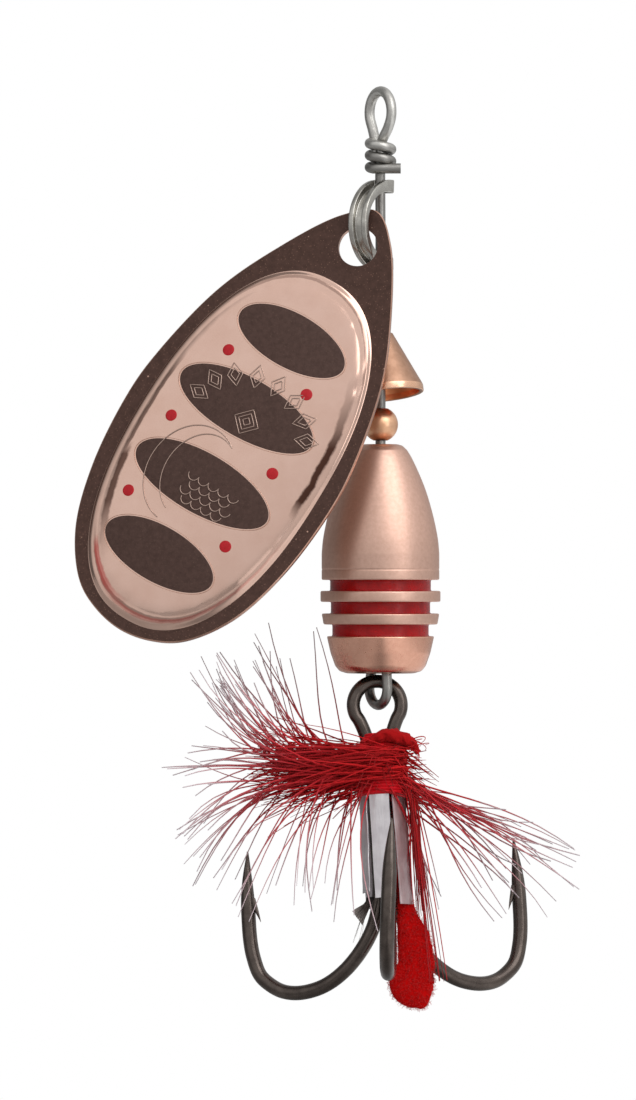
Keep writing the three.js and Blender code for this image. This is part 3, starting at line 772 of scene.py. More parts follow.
def blade_shape(count=288):
    outline = blade_outline(count)
    shares = [0.03, 0.1, 0.2, 0.3, 0.4, 0.5, 0.6, 0.68, 0.76, 0.82, 0.86, 0.89, 0.91]
    shares += [0.92 + 0.007 * k for k in range(19)]
    sheet = []
    for p in outline:
        a = abs(p.x) / DOME_WIDE
        b = abs(p.y + DOME_MIDDLE) / DOME_LONG
        reach = 1 / (a ** BOX_POWER + b ** BOX_POWER) ** (1 / BOX_POWER)
        ray = Vector((p.x, p.y + DOME_MIDDLE, 0))
        swing = noise.noise((p.x * 0.9, p.y * 0.9, 3.1))
        column = [(ray * reach * s, blade_height(s, swing)) for s in shares]
        foot = ray * reach * DOME_FOOT
        edge = ray - ray.normalized() * EDGE_ROUND
        column += [(foot.lerp(edge, k / 5), 0.0) for k in range(6)]
        column.append((ray, -EDGE_ROUND))
        sheet.append(column)
    rings = len(sheet[0])
    verts = [(0, -DOME_MIDDLE, DOME_HIGH), (0, -DOME_MIDDLE, DOME_HIGH - BLADE_THICK)]
    spots = [0.0, 0.0]
    for back in (0, 1):
        for i in range(rings):
            outer = -EDGE_ROUND - (BLADE_THICK - 2 * EDGE_ROUND) * back
            for column in sheet:
                at, z = column[i]
                spots.append(shares[i] if i < len(shares) else 1.2)
                deep = z - BLADE_THICK * back if i < rings - 1 else outer
                verts.append((at.x, at.y - DOME_MIDDLE, deep))
    faces, kinds = [], []
    for back in (0, 1):
        base = 2 + back * rings * count
        for k in range(count):
            j = (k + 1) % count
            faces.append((back, base + k, base + j))
            kinds.append(BACK if back else DOMED)
            for i in range(rings - 1):
                a = base + i * count
                faces.append((a + k, a + count + k, a + count + j, a + j))
                front = DOMED if i + 1 < len(shares) else RIM
                kinds.append(EDGE if i == rings - 2 else (BACK if back else front))
    rim = (rings - 1) * count
    for k in range(count):
        j = (k + 1) % count
        a, b = 2 + rim, 2 + rings * count + rim
        faces.append((a + k, b + k, b + j, a + j))
        kinds.append(EDGE)
    return verts, faces, kinds, spots


blade_verts, blade_faces, blade_kinds, blade_spots = blade_shape()
print("blade of", len(blade_verts), "points, highest", round(max(v[2] for v in blade_verts), 2))

# %% Blade with its hole and finishes
def on_blade(side, along, z=0):
    """A place so far right of the middle and down from the tip, in the blade's own frame."""
    return (side - HOLE_SIDE, HOLE_DOWN - along, z)


def blade_mesh_made():
    mesh = bpy.data.meshes.new("blade_bare")
    mesh.from_pydata([on_blade(x, -y, z + BLADE_THICK / 2) for x, y, z in blade_verts], [],
                     blade_faces)
    finish_of = mesh.attributes.new("finish", "INT", "FACE")
    finish_of.data.foreach_set("value", blade_kinds)
    spot = mesh.attributes.new("share", "FLOAT", "POINT")
    spot.data.foreach_set("value", blade_spots)
    work = bmesh.new()
    work.from_mesh(mesh)
    bmesh.ops.recalc_face_normals(work, faces=work.faces)
    work.to_mesh(mesh)
    work.free()
    made = pierced(mesh, HOLE_R, 6)
    flat_map = made.uv_layers.new(name="face_mm")
    for loop in made.loops:
        at = made.vertices[loop.vertex_index].co
        flat_map.data[loop.index].uv = (at.x, at.y)
    made.materials.clear()
    for m in (mirror, rim_brown, bare_edge, body_copper):
        made.materials.append(m)
    kinds = made.attributes["finish"].data
    for face in made.polygons:
        walled = abs(face.normal.z) < 0.5 and face.center.to_2d().length < HOLE_R + 0.04
        face.material_index = EDGE if walled else kinds[face.index].value
    return made


blade_mesh = blade_mesh_made()
print("blade faces by finish", [sum(f.material_index == k for f in blade_mesh.polygons)
                                for k in range(4)])

# %% [markdown]
# ## The stamped marks
# Four brown ovals are printed across the dome with a thin bare line round each, and six
# red dots lie between them. Marks that repeat on a curved face are work for Geometry
# Nodes: a thin lens is put on each point, scaled by the point's own sizes, and every
# point of it is dropped onto the blade with a Raycast.

# %% Helpers for geometry trees
def tree_of(name, sockets):
    """A tree with a geometry input, the named inputs, and a geometry output."""
    kinds = {float: "NodeSocketFloat", int: "NodeSocketInt", bool: "NodeSocketBool"}
    tree = bpy.data.node_groups.new(name, "GeometryNodeTree")
    tree.interface.new_socket("Geometry", in_out="INPUT", socket_type="NodeSocketGeometry")
    for label, value in sockets.items():
        kind = kinds.get(type(value), value)
        socket = tree.interface.new_socket(label, in_out="INPUT", socket_type=kind)
        if kind != value:
            socket.default_value = value
    tree.interface.new_socket("Geometry", in_out="OUTPUT", socket_type="NodeSocketGeometry")
    into = tree.nodes.new("NodeGroupInput")
    return tree, into.outputs, tree.nodes.new("NodeGroupOutput").inputs


def end_of(tree, geometry, material, out):
    real = add(tree, "GeometryNodeRealizeInstances", {0: geometry})
    soft = add(tree, "GeometryNodeSetShadeSmooth", {0: real.outputs[0]})
    done = add(tree, "GeometryNodeSetMaterial", {0: soft.outputs[0], "Material": material})
    tree.links.new(done.outputs[0], out[0])
    print("tree", tree.name, len(tree.nodes), "nodes")


def named(tree, label):
    return add(tree, "GeometryNodeInputNamedAttribute", {"Name": label},
               data_type="FLOAT").outputs[0]


def circle_of(tree, points, radius):
    return add(tree, "GeometryNodeCurvePrimitiveCircle",
               {"Resolution": points, "Radius": radius}).outputs[0]


def dropped(tree, geometry, onto, steep=1.0, gap=0.0):
    """Drops each point straight down onto a face. What was its height, made steeper and
    with a gap added, becomes its height above the face."""
    x, y, z = split(tree, add(tree, "GeometryNodeInputPosition").outputs[0])
    target = add(tree, "GeometryNodeObjectInfo", {"Object": onto}).outputs["Geometry"]
    hit = add(tree, "GeometryNodeRaycast", {
        "Target Geometry": target, "Source Position": joined(tree, x, y, 5.0),
        "Ray Direction": (0, 0, -1), "Ray Length": 10.0}).outputs
    lift = add(tree, "ShaderNodeVectorMath", {
        0: hit["Hit Normal"], 3: sum_of(tree, "MULTIPLY_ADD", z, steep, gap)},
        operation="SCALE").outputs[0]
    landed = add(tree, "ShaderNodeVectorMath", {0: hit["Hit Position"], 1: lift}).outputs[0]
    return add(tree, "GeometryNodeSetPosition", {0: geometry, "Position": landed}).outputs[0]


print("geometry helpers ready")

# %% Geometry tree: marks dropped onto a face
marks, take, give = tree_of("stamped_marks", {
    "Blade": "NodeSocketObject", "Segments": 96, "Thick": 0.03, "Outline": False,
    "Material": "NodeSocketMaterial"})
lens = add(marks, "GeometryNodeMeshUVSphere",
           {"Segments": take["Segments"], "Rings": 20, "Radius": 1.0}).outputs[0]
hoop = add(marks, "GeometryNodeCurveToMesh", {
    0: circle_of(marks, take["Segments"], 1.0), 1: circle_of(marks, 6, 0.007)}).outputs[0]
shape = add(marks, "GeometryNodeSwitch", {"Switch": take["Outline"], "False": lens, "True": hoop},
            input_type="GEOMETRY").outputs[0]
taller = add(marks, "GeometryNodeSwitch", {"Switch": take["Outline"], "False": 1.0, "True": 90.0},
             input_type="FLOAT").outputs[0]
sizes = joined(marks, named(marks, "half_wide"), named(marks, "half_long"),
               sum_of(marks, "MULTIPLY", take["Thick"], taller))
spread = add(marks, "GeometryNodeInstanceOnPoints",
             {"Points": take["Geometry"], "Instance": shape, "Scale": sizes})
real = add(marks, "GeometryNodeRealizeInstances", {0: spread.outputs[0]}).outputs[0]
end_of(marks, dropped(marks, real, take["Blade"]), take["Material"], give)

# %% Geometry tree: stamped lines on a face
engraving, take, give = tree_of("engraved_lines", {
    "Blade": "NodeSocketObject", "Line": 0.04, "Material": "NodeSocketMaterial"})
drawn = add(engraving, "GeometryNodeMeshToCurve", {0: take["Geometry"]}).outputs[0]
wires = add(engraving, "GeometryNodeCurveToMesh",
            {0: drawn, 1: circle_of(engraving, 6, take["Line"])}).outputs[0]
end_of(engraving, dropped(engraving, wires, take["Blade"], 0.6, 0.02), take["Material"], give)

# %% Run a tree and keep a plain mesh
def made_by(tree, mesh, place_at=None, **values):
    """Sets the tree's inputs by their identifiers, evaluates it once, and keeps the mesh."""
    obj = bpy.data.objects.new("making", mesh)
    bpy.context.scene.collection.objects.link(obj)
    step = obj.modifiers.new("tree", "NODES")
    step.node_group = tree
    ids = {s.name: s.identifier for s in tree.interface.items_tree if s.in_out == "INPUT"}
    for label, value in values.items():
        step[ids[label]] = value
    obj.update_tag()
    bpy.context.view_layer.update()
    seen_by = bpy.context.evaluated_depsgraph_get()
    made = bpy.data.meshes.new_from_object(obj.evaluated_get(seen_by),
                                           preserve_all_data_layers=True, depsgraph=seen_by)
    bpy.data.objects.remove(obj)
    made.transform(Matrix.Scale(MM, 4) @ (place_at or Matrix()))
    return made


def points_mesh(places, edges=(), **numbers):
    """Points, and lines between them where there are edges, with numbers on each point."""
    mesh = bpy.data.meshes.new("places")
    mesh.from_pydata(places, edges, [])
    for label, values in numbers.items():
        mesh.attributes.new(label, "FLOAT", "POINT").data.foreach_set("value", values)
    return mesh


# %% The marks and where they lie
# Ovals: (distance from the tip, how far right of the middle, length across, width), and
# dots: (distance from the tip, how far right of the middle).
OVALS = [(10.72, -0.13, 8.36, 3.77), (16.3, -0.32, 10.6, 4.11), (22.26, -0.21, 10.6, 4.11),
         (27.88, -0.22, 8.56, 3.77)]
DOTS = [(13.42, -3.56), (13.42, 2.84), (19.26, -4.6), (19.26, 3.72), (25.16, -4.43),
        (25.16, 3.55)]
DOT_R, HOOP_GAP = 0.41, 0.1


def marks_at(rows):
    """Points for marks of (distance from the tip, how far right, half across, half long)."""
    down, right, half_wide, half_long = zip(*rows)
    return points_mesh([on_blade(*spot) for spot in zip(right, down)], half_wide=half_wide,
                       half_long=half_long)


ovals = marks_at([(d, x, a / 2, b / 2) for d, x, a, b in OVALS])
hoops = marks_at([(d, x, a / 2 + HOOP_GAP, b / 2 + HOOP_GAP) for d, x, a, b in OVALS])
dots = marks_at([(d, x, DOT_R, DOT_R) for d, x in DOTS])
print(len(OVALS), "ovals and", len(DOTS), "dots")

# %% [markdown]
# A maker's pattern is stamped over the ovals in thin raised lines: here a plain one of
# lozenges on an arc, three nested squares, a crescent and rows of scales. It is drawn flat
# as points and edges, and the tree lays it on the dome and on the paint of the ovals.

# %% Stamped pattern
LOZENGES, SCALE_ROWS = 8, 4


def motif():
    points, edges = [], []

    def draw_line(line, loop=False):
        base = len(points)
        points.extend(on_blade(x, along) for x, along in line)
        edges.extend((base + i, base + i + 1) for i in range(len(line) - 1))
        if loop:
            edges.append((base + len(line) - 1, base))

    def arc(x, along, rx, ry, start, end, steps=24):
        angles = [math.radians(start + (end - start) * i / steps) for i in range(steps + 1)]
        return [(x + rx * math.cos(a), along - ry * math.sin(a)) for a in angles]

    def sided(corners, grow, steps=6):
        """Points along the sides of a shape, so that its lines can follow the dome."""
        corners = [Vector(c) * grow for c in corners]
        return [a.lerp(b, k / steps) for a, b in zip(corners, corners[1:] + corners[:1])
                for k in range(steps)]

    for i in range(LOZENGES):
        a = math.radians(172 - 152 * i / (LOZENGES - 1))
        x, along = 0.5 + 4.3 * math.cos(a), 17.4 - 3.5 * math.sin(a)
        ca, sa = math.cos(a - math.pi / 2), math.sin(a - math.pi / 2)
        for grow in (1.0, 0.55):
            lozenge = sided([(0.54, 0), (0, 0.84), (-0.54, 0), (0, -0.84)], grow)
            draw_line([(x + u * ca - v * sa, along - u * sa - v * ca) for u, v in lozenge], True)
    for grow in (0.95, 0.63, 0.3):
        draw_line([(0.3 + u, 17.1 + v) for u, v in
                   sided([(1, 0), (0, 1), (-1, 0), (0, -1)], grow)], True)
    draw_line(arc(-1.2, 22.2, 3.1, 3.6, 60, 262, 40))
    draw_line(arc(-0.6, 22.0, 2.5, 3.1, 66, 250, 40))
    for row in range(SCALE_ROWS):
        inset = row % 2
        for k in range(5 - inset):
            x, along = -0.9 + 0.8 * k + 0.4 * inset, 22.0 + 0.55 * row
            draw_line(arc(x, along, 0.4, 0.42, 180, 360, 10))
    return points_mesh(points, edges)


pattern = motif()
print("pattern of", len(pattern.edges), "short lines")

# %% Stamp the blade
bare_blade = bpy.data.objects.new("bare_blade", blade_mesh.copy())
bpy.context.scene.collection.objects.link(bare_blade)
oval_mesh = made_by(marks, ovals, BLADE, Blade=bare_blade, Material=oval_brown)
hoop_mesh = made_by(marks, hoops, BLADE, Blade=bare_blade, Outline=True, Material=bare_edge)
dot_mesh = made_by(marks, dots, BLADE, Blade=bare_blade, Segments=40, Thick=0.05,
                   Material=dot_red)
marked_blade = bpy.data.objects.new("marked_blade", bpy.data.meshes.new("marked"))
both_faces = bmesh.new()
for made, back_to in ((blade_mesh, Matrix()),
                      (oval_mesh, BLADE.inverted() @ Matrix.Scale(1 / MM, 4))):
    piece = made.copy()
    piece.transform(back_to)
    both_faces.from_mesh(piece)
both_faces.to_mesh(marked_blade.data)
both_faces.free()
bpy.context.scene.collection.objects.link(marked_blade)
motif_mesh = made_by(engraving, pattern, BLADE, Blade=marked_blade, Line=0.042, Material=engraved)
bpy.data.objects.remove(marked_blade)
bpy.data.objects.remove(bare_blade)
blade_mesh.transform(Matrix.Scale(MM, 4) @ BLADE)
keep("blade_fine", blade_mesh, "blade", ["blade"], sharp=32)
for label, mesh in (("blade_ovals", oval_mesh), ("blade_outlines", hoop_mesh),
                    ("blade_dots", dot_mesh), ("blade_motif", motif_mesh)):
    keep(label, mesh, "blade", sharp=0)

# %% [markdown]
# ## Cone, bead and body
# All three are turned parts. The cone is thin and open below, the bead is its bearing, and
# the heavy body casts the lure. Corners get a small round, because a bright thin line along
# each edge is what makes turned metal look real.

# %% Cone
CONE_R, LIP_HIGH, CONE_WALL, CONE_BORE = 2.5, 0.45, 0.28, 0.55
CONE_SLOPE = math.radians(23.8)
CONE_TIPPED, CONE_LEAN, CONE_Z = -9.5, -6.5, -19.35


def cone_profile():
    slope = math.tan(CONE_SLOPE)
    top = LIP_HIGH + (CONE_R - CONE_BORE - CONE_WALL) / slope
    thin = CONE_WALL / math.cos(CONE_SLOPE)
    side = [(r, LIP_HIGH + (CONE_R - r) / slope) for r in (CONE_R, 2.2, 1.5)]
    outer = [(CONE_R, 0), *side, (CONE_BORE + CONE_WALL, top)]
    inner = [(CONE_BORE, top), (CONE_BORE, top - (thin - CONE_WALL) / slope),
             (CONE_R - thin, LIP_HIGH), (CONE_R - CONE_WALL, 0)]
    return eased(outer + inner, 0.07), top


cone_points, cone_top = cone_profile()
cone_high = CONE_Z + cone_top * math.cos(math.radians(CONE_LEAN))
cone_at = (Matrix.Translation((0, 0, cone_high)) @ turn("X", CONE_TIPPED) @ turn("Y", CONE_LEAN)
           @ Matrix.Translation((0, 0, -cone_top)))
cone_mesh = mesh_of("cone", *turned(cone_points), metres=False)
for face in cone_mesh.polygons:
    middle = face.center
    out = Vector((middle.x, middle.y)).length
    # inward faces take the orange copper, a painted reflection
    faces_in = face.normal.to_2d().dot(middle.to_2d()) < 0
    # the lip band takes the brighter copper, a painted highlight
    lip = middle.z < LIP_HIGH - 0.01 and out > CONE_R - 0.08
    face.material_index = 2 if lip else (1 if faces_in and middle.z > 0.05 else 0)
cone_mesh.transform(Matrix.Scale(MM, 4) @ cone_at)
keep("sound_cone_fine", cone_mesh, "cone", ["sound_cone"],
     [cone_copper, cone_inside_painted_reflection, lip_copper_painted_highlight])

# %% Bead
BEAD_R, BEAD_Z = 1.2, -21.3


def bead_profile(steps=36):
    start = math.asin(BORE_R / BEAD_R)
    angles = [math.pi - start - (math.pi - 2 * start) * i / steps for i in range(steps + 1)]
    return [(BEAD_R * math.sin(a), BEAD_R * math.cos(a)) for a in angles]


bead_mesh = mesh_of("bead", *turned(bead_profile(), 64), Matrix.Translation((0, 0, BEAD_Z)))
keep("bearing_bead_fine", bead_mesh, "bead", ["bearing_bead"], [bead_copper])

# %% Body
# Grooves: (depth below the top where one starts and ends, radius before it, in it, after it).
GROOVES = [(9.3, 10.05, 4.03, 3.45, 4.11), (10.8, 11.6, 4.11, 3.4, 4.03),
           (12.35, 13.15, 3.9, 3.3, 3.68)]
BODY_Z, BODY_R, BODY_LONG = -22.65, 4.03, 15.7


def body_profile():
    """The outside from the top down and the bore back up, as (radius, depth below the top)."""
    swell = [(1.82, 0.4), (2.12, 0.9), (2.62, 1.95), (3.1, 3.15), (3.48, 4.4), (3.77, 5.6),
             (3.95, 6.6), (BODY_R, 7.5)]
    curve = smooth([(r, d, 0) for r, d in swell], 4)
    outside = [(1.15, 0), (1.5, 0.1), *[(p.x, p.y) for p in curve], (BODY_R, 8.52),
               (BODY_R - 0.03, 8.58), (BODY_R, 8.64)]
    for start, end, before, floor_r, after in GROOVES:
        outside += [(before, start), (floor_r, start), (floor_r, end), (after, end)]
    outside += [(3.42, 14.3), (3.1, 15.2), (2.8, 15.55), (2.3, BODY_LONG)]
    inside = [(1.7, BODY_LONG), (1.7, 10.7), (BORE_R, 10.7), (BORE_R, 0)]
    return [(r, -d) for r, d in reversed(outside + inside)]


body_mesh = mesh_of("body", *turned(eased(body_profile(), 0.12), 160), metres=False)
for face in body_mesh.polygons:
    deep, out = -face.center.z, face.center.to_2d().length
    grooved = any(a - 0.002 <= deep <= b + 0.002 for a, b, *_ in GROOVES)
    painted = grooved and 3.2 < out < BODY_R + 0.03
    # faces low on the base take the brighter copper, painted light
    face.material_index = 1 if painted else (2 if deep > 13.1 else 0)
body_mesh.transform(Matrix.Scale(MM, 4) @ Matrix.Translation((0, 0, BODY_Z)))
keep("body_fine", body_mesh, "body", ["body"],
     [body_copper, groove_red, base_copper_painted_light])

# %% [markdown]
# ## The treble hook
# Two hooks are one wire, bent over a peg to make the eye, and the third is brazed into
# the valley between their shanks. Each point tapers to a needle and has a barb cut
# from its inner side.

# %% Hooks
HOOK_R, SHANK_OUT, HOOK_EYE_R = 0.5, 0.6, 1.64
DROP, TIP, OUT = 19.15, 10.1, 10.8
LEFT, RIGHT, FRONT = 150, 30, -96


def hook_line(bent=0.0):
    """From the point to the shank: how far out, and how high over the lowest place of the
    bend. The point of the front hook is bent to its side."""
    line = [(OUT - 0.2, TIP), (OUT - 0.05, 8), (OUT, 6), (OUT - 0.03, 4), (OUT - 0.2, 2.8),
            (OUT - 0.65, 1.5), (9.35, 0.72), (8.4, 0.2), (7.07, 0), (5.3, 0.3), (3.7, 1.15),
            (2.3, 2.45), (1.3, 3.9), (0.8, 5.3), (SHANK_OUT, 6.8)]
    return [Vector((u, bent * v / TIP if u > 7 else 0, v - DROP)) for u, v in line]


def about(points, degrees):
    spin = Matrix.Rotation(math.radians(degrees), 3, "Z")
    return [spin @ Vector(p) for p in points]


def tapered(from_tip):
    return HOOK_R * min(1, 0.1 + 0.9 * math.sin(min(1, from_tip / 4.3) * math.pi / 2))


def barb(degrees, side=0.0):
    """A sliver lifted from the inside of the point, aiming back at the bend."""
    root = Vector((OUT - 0.32, side, 6.75 - DROP))
    end = Vector((OUT - 0.93, side, 5.15 - DROP))
    path = about(smooth([root, root.lerp(end, 0.5) + Vector((-0.02, 0, 0)), end], 6), degrees)

    def size(at, whole):
        left = 1 - at / whole
        return 0.17 * left + 0.015, 0.26 * left + 0.015

    return tube(path, size, 10, about([(0, 1, 0)], degrees)[0])


def merged(*shapes):
    verts, faces = [], []
    for v, f in shapes:
        base = len(verts)
        verts += list(v)
        faces += [tuple(base + i for i in face) for face in f]
    return verts, faces


def double_hook():
    """One wire: up from the left point, over the eye, and down to the right point."""
    near = SHANK_OUT * math.cos(math.radians(RIGHT))
    deep = SHANK_OUT * math.sin(math.radians(RIGHT))
    low = -HOOK_EYE_R * 1.15
    left = about(hook_line(), LEFT)
    right = list(reversed(about(hook_line(), RIGHT)))
    ring = [Vector((HOOK_EYE_R * math.cos(a), 0, HOOK_EYE_R * math.sin(a)))
            for a in (math.radians(218 - 256 * i / 16) for i in range(17))]
    down = [(-near, deep, -10), (-near, deep, low - 2.1), (-near - 0.16, deep * 0.8, low - 1.3),
            (-0.92, deep * 0.4, low - 0.1)]
    up = [(-x, y, z) for x, y, z in reversed(down)]
    path = smooth([*left, *down, *ring, *up, *right], 8)

    def size(at, whole):
        from_top = abs(at - whole / 2)
        slim = 0.04 * max(0.0, min(1.0, (6.5 - from_top) / 1.5))
        return (tapered(min(at, whole - at)) - slim,) * 2

    return merged(tube(path, size, 20, (0, 1, 0)), barb(LEFT), barb(RIGHT))


def single_hook():
    line = hook_line(1.0) + [Vector((SHANK_OUT, 0, -10)), Vector((SHANK_OUT, 0, -3.15))]
    path = smooth(about(line, FRONT), 8)
    return merged(tube(path, lambda at, whole: (tapered(at),) * 2, 20, (1, 0, 0)),
                  barb(FRONT, 0.57))


keep("double_hook_fine", mesh_of("double", *double_hook(), TREBLE), "treble",
     ["double_hook"], [hook_bronze])
keep("single_hook_fine", mesh_of("single", *single_hook(), TREBLE), "treble",
     ["single_hook"], [hook_bronze])

# %% [markdown]
# ## The thread head
# The dressing is bound to the shanks with tying thread, laid turn beside turn. A turn of
# thread that repeats along an axis is one spiral, so a small tree makes it: a spiral curve
# given a round section. The same tree lays the collar and the head.

# %% Geometry tree: turns of thread
turns, take, give = tree_of("thread_turns", {
    "Turns": 12.0, "Start": 1.8, "End": 1.5, "Height": 3.0, "Strand": 0.12,
    "Material": "NodeSocketMaterial"})
coil = add(turns, "GeometryNodeCurveSpiral", {
    "Resolution": 40, "Rotations": take["Turns"], "Start Radius": take["Start"],
    "End Radius": take["End"], "Height": take["Height"]}).outputs[0]
round_coil = add(turns, "GeometryNodeCurveToMesh", {
    0: coil, 1: circle_of(turns, 8, take["Strand"]), "Fill Caps": True})
end_of(turns, round_coil.outputs[0], take["Material"], give)

# %% Thread
COLLAR_LOW = -6.3


def coiled(name, low, **values):
    mesh = made_by(turns, bpy.data.meshes.new("none"), TREBLE @ Matrix.Translation((0, 0, low)),
                   Material=thread_red, **values)
    keep(name, mesh, "treble", sharp=0)


core = eased([(1.3, COLLAR_LOW), (1.62, COLLAR_LOW), (1.7, -5.9), (1.7, -3.2), (1.5, -2.75),
              (1.1, -2.2), (0.85, -2.05), (0.75, -2.3), (1.0, -2.75)], 0.08)
keep("thread_core", mesh_of("core", *turned(core, 64), TREBLE), "treble",
     ["thread_wrap"], [thread_red])
coiled("thread_collar", -6.2, Turns=14.0, Start=1.68, End=1.68, Height=3.1, Strand=0.115)
coiled("thread_head", -3.15, Turns=6.0, Start=1.66, End=0.9, Height=1.15, Strand=0.11)

# %% Head of the binding
def head_lump():
    """A soft twist of thread ends, pressed over the shanks above the collar."""
    path = smooth([(-0.9, -1.25, -2.75), (0.1, -1.55, -2.35), (1.1, -1.55, -2.4),
                   (2.0, -1.25, -2.85), (2.55, -0.8, -3.5)], 8)

    def size(at, whole):
        swell = math.sin(math.pi * at / whole)
        return 0.2 + 0.42 * swell ** 0.8, 0.2 + 0.26 * swell

    verts, faces = tube(path, size, 32, (0, 1, 0))
    rough = [0.12 * noise.noise(v * 2.2) + 0.09 * noise.noise(v * 7) for v in verts]
    return [v + Vector((r, r, r)) for v, r in zip(verts, rough)], faces


keep("head_lump", mesh_of("lump", *head_lump(), TREBLE), "treble",
     materials=[head_red], sharp=80)

# %% [markdown]
# ## Fibres
# A hackle's fibres are too fine to model one by one as solids. Each one is drawn as a thin
# line of points, which carry their thickness, their place along the fibre and their shade.
# One tree then gives every line a three-sided section. The lines follow a plan of sprays:
# where a spray points, how long it is and how many fibres it has.

# %% Geometry tree: fibres from lines
fibres, take, give = tree_of("fibres", {"Sides": 3, "Material": "NodeSocketMaterial"})
lines_in = add(fibres, "GeometryNodeMeshToCurve", {0: take["Geometry"]}).outputs[0]
body_of_fibre = add(fibres, "GeometryNodeCurveToMesh", {
    0: lines_in, 1: circle_of(fibres, take["Sides"], 1.0), "Scale": named(fibres, "thick"),
    "Fill Caps": True})
end_of(fibres, body_of_fibre.outputs[0], take["Material"], give)


class Strands:
    """Collects lines of points with their numbers, to be made into one mesh."""

    def __init__(self):
        self.points, self.edges = [], []
        self.numbers = {"thick": [], "along": [], "shade": []}

    def lay(self, path, thick, shade, thin):
        """Adds a strand that ends at a share, thin, of the thickness it starts with."""
        base = len(self.points)
        last = len(path) - 1
        for i, p in enumerate(path):
            s = i / last
            self.points.append(tuple(p))
            self.numbers["thick"].append(thick * (1 - (1 - thin) * s ** 1.5))
            self.numbers["along"].append(s)
            self.numbers["shade"].append(shade)
            if i:
                self.edges.append((base + i - 1, base + i))

    def made(self, name, material, slot, nodes=()):
        mesh = points_mesh(self.points, self.edges, **self.numbers)
        keep(name, made_by(fibres, mesh, TREBLE, Material=material), "treble", nodes,
             sharp=0)


def bent(a, b, c, d, steps=9):
    """A cubic bend from a to d, pulled towards b and c."""
    out = []
    for i in range(steps + 1):
        s = i / steps
        r = 1 - s
        out.append(a * r ** 3 + b * (3 * r * r * s) + c * (3 * r * s * s) + d * s ** 3)
    return out


print("a bend of", len(bent(*(Vector((k, 0, 0)) for k in range(4)))), "points")

# %% Hackle: the sprays
# Each spray: angle seen from the front (degrees, 0 to the right, 90 up), reach, clumps of
# fibres, spread of angle, how far it leans to the front (-) or back (+), and how far it
# sags (-) or lifts (+) on its way.
SPRAYS = [
    (150, 15.4, 9, 2.2, 1.5, -3.4), (146, 13.8, 8, 2.5, -1.0, -3.2),
    (137, 13.4, 7, 2.5, 2.0, -3.4), (129, 13.2, 5, 2.5, 3.5, -3.2),
    (157, 13.8, 5, 3.0, -1.5, -2.4), (118, 13.2, 2, 1.5, 2.0, -2.4),
    (168, 14.0, 4, 3.5, 1.0, 0.4), (176, 15.2, 4, 3.0, -1.0, 1.2),
    (184, 14.6, 4, 3.0, 0.5, 1.6), (193, 15.0, 5, 3.0, 1.0, 2.2),
    (201, 15.6, 6, 2.5, -1.5, 2.4), (208, 15.2, 5, 2.5, 1.0, 2.4),
    (219, 14.6, 5, 3.0, -1.0, 2.4), (229, 11.8, 5, 3.5, 1.0, 1.8),
    (237, 12.6, 4, 3.0, -2.5, 1.8), (248, 10.0, 4, 3.0, -2.0, 1.2),
    (256, 11.4, 3, 3.0, -2.5, 1.0), (-76, 11.0, 4, 3.0, 1.0, 0.4),
    (-54, 13.2, 4, 3.0, -0.5, 0.5), (-47, 14.2, 4, 3.0, 1.0, 0.6),
    (-38, 15.8, 5, 2.5, -0.5, 0.6), (-29, 16.0, 7, 2.0, 0.8, 0.4),
    (-33, 13.0, 4, 4.0, 1.0, 0.5), (-24, 11.0, 3, 3.0, -1.0, 0.3),
]
HEART = Vector((0.2, 0, -4.4))
FARTHEST_RIGHT = 13.1
draw = random.Random(41)
hackle = Strands()


def fibre_path(angle, reach, lean, sag, scatter):
    """One fibre: it leaves the collar sideways, then bends to where its spray points."""
    a = math.radians(angle)
    aim = Vector((math.cos(a), 0, math.sin(a)))
    side = -1 if aim.x < 0.2 and angle > 0 else 1
    steep = abs(aim.x) < 0.45
    z = HEART.z + (draw.uniform(-0.9, 1.2) if side < 0 else draw.uniform(-1.5, -0.3))
    root = Vector((side * draw.uniform(-0.6, 1.5),
                   draw.choice((-1, 1)) * draw.uniform(0.9, 1.75), z))
    tip = HEART + aim * reach + Vector((0, lean, 0)) + scatter
    tip.x = min(tip.x, FARTHEST_RIGHT + 0.2 * scatter.x)
    far_out = 0.12 if steep else (0.36 if side < 0 else 0.16)
    lead = Vector((side * far_out * reach, root.y * 0.25, 0.1 * sag if side < 0 else -0.6))
    one = root + lead
    two = one.lerp(tip, 0.5) + Vector((0, 0, sag * 0.55)) + scatter * 0.4
    steps = 12
    path = bent(root, one, two, tip, steps)
    wave, size = draw.uniform(0, 6.28), draw.choice((0.12, 0.25, 0.4, 0.6, 0.95))
    for i, q in enumerate(path):
        s = i / steps
        q += Vector((-aim.z, 0.4, aim.x)) * (size * s * math.sin(wave + 4.6 * s))
    return path


SWUNG = turn("Y", 50)
PIVOT = Vector((TREBLE_AT.x, 0, TREBLE_AT.z))
BODY_LOW, BESIDE_BODY = -39.9, 4.35


def parted(path):
    """Parts a fibre to the front or the back, so that it passes beside the body when the
    hook is swung right up to the left."""
    back = TREBLE.inverted()
    spots = [TREBLE @ q for q in path]
    swung = [PIVOT + SWUNG @ (q - PIVOT) for q in spots]
    way = 1 if spots[-1].y > -0.8 else -1

    def room(at, most):
        need = most * max(0.0, min(1.0, (at.z - BODY_LOW) / 2.0))
        return math.sqrt(max(0.0, need ** 2 - at.x ** 2))

    y = [max(q.y * way, room(at, BESIDE_BODY + 0.55)) for q, at in zip(spots, swung)]
    for _ in range(3):
        y = [y[0]] + [(a + 2 * b + c) / 4 for a, b, c in zip(y, y[1:], y[2:])] + [y[-1]]
    y = [max(v, room(at, BESIDE_BODY)) for v, at in zip(y, swung)]
    return [back @ Vector((q.x, v * way, q.z)) for q, v in zip(spots, y)]


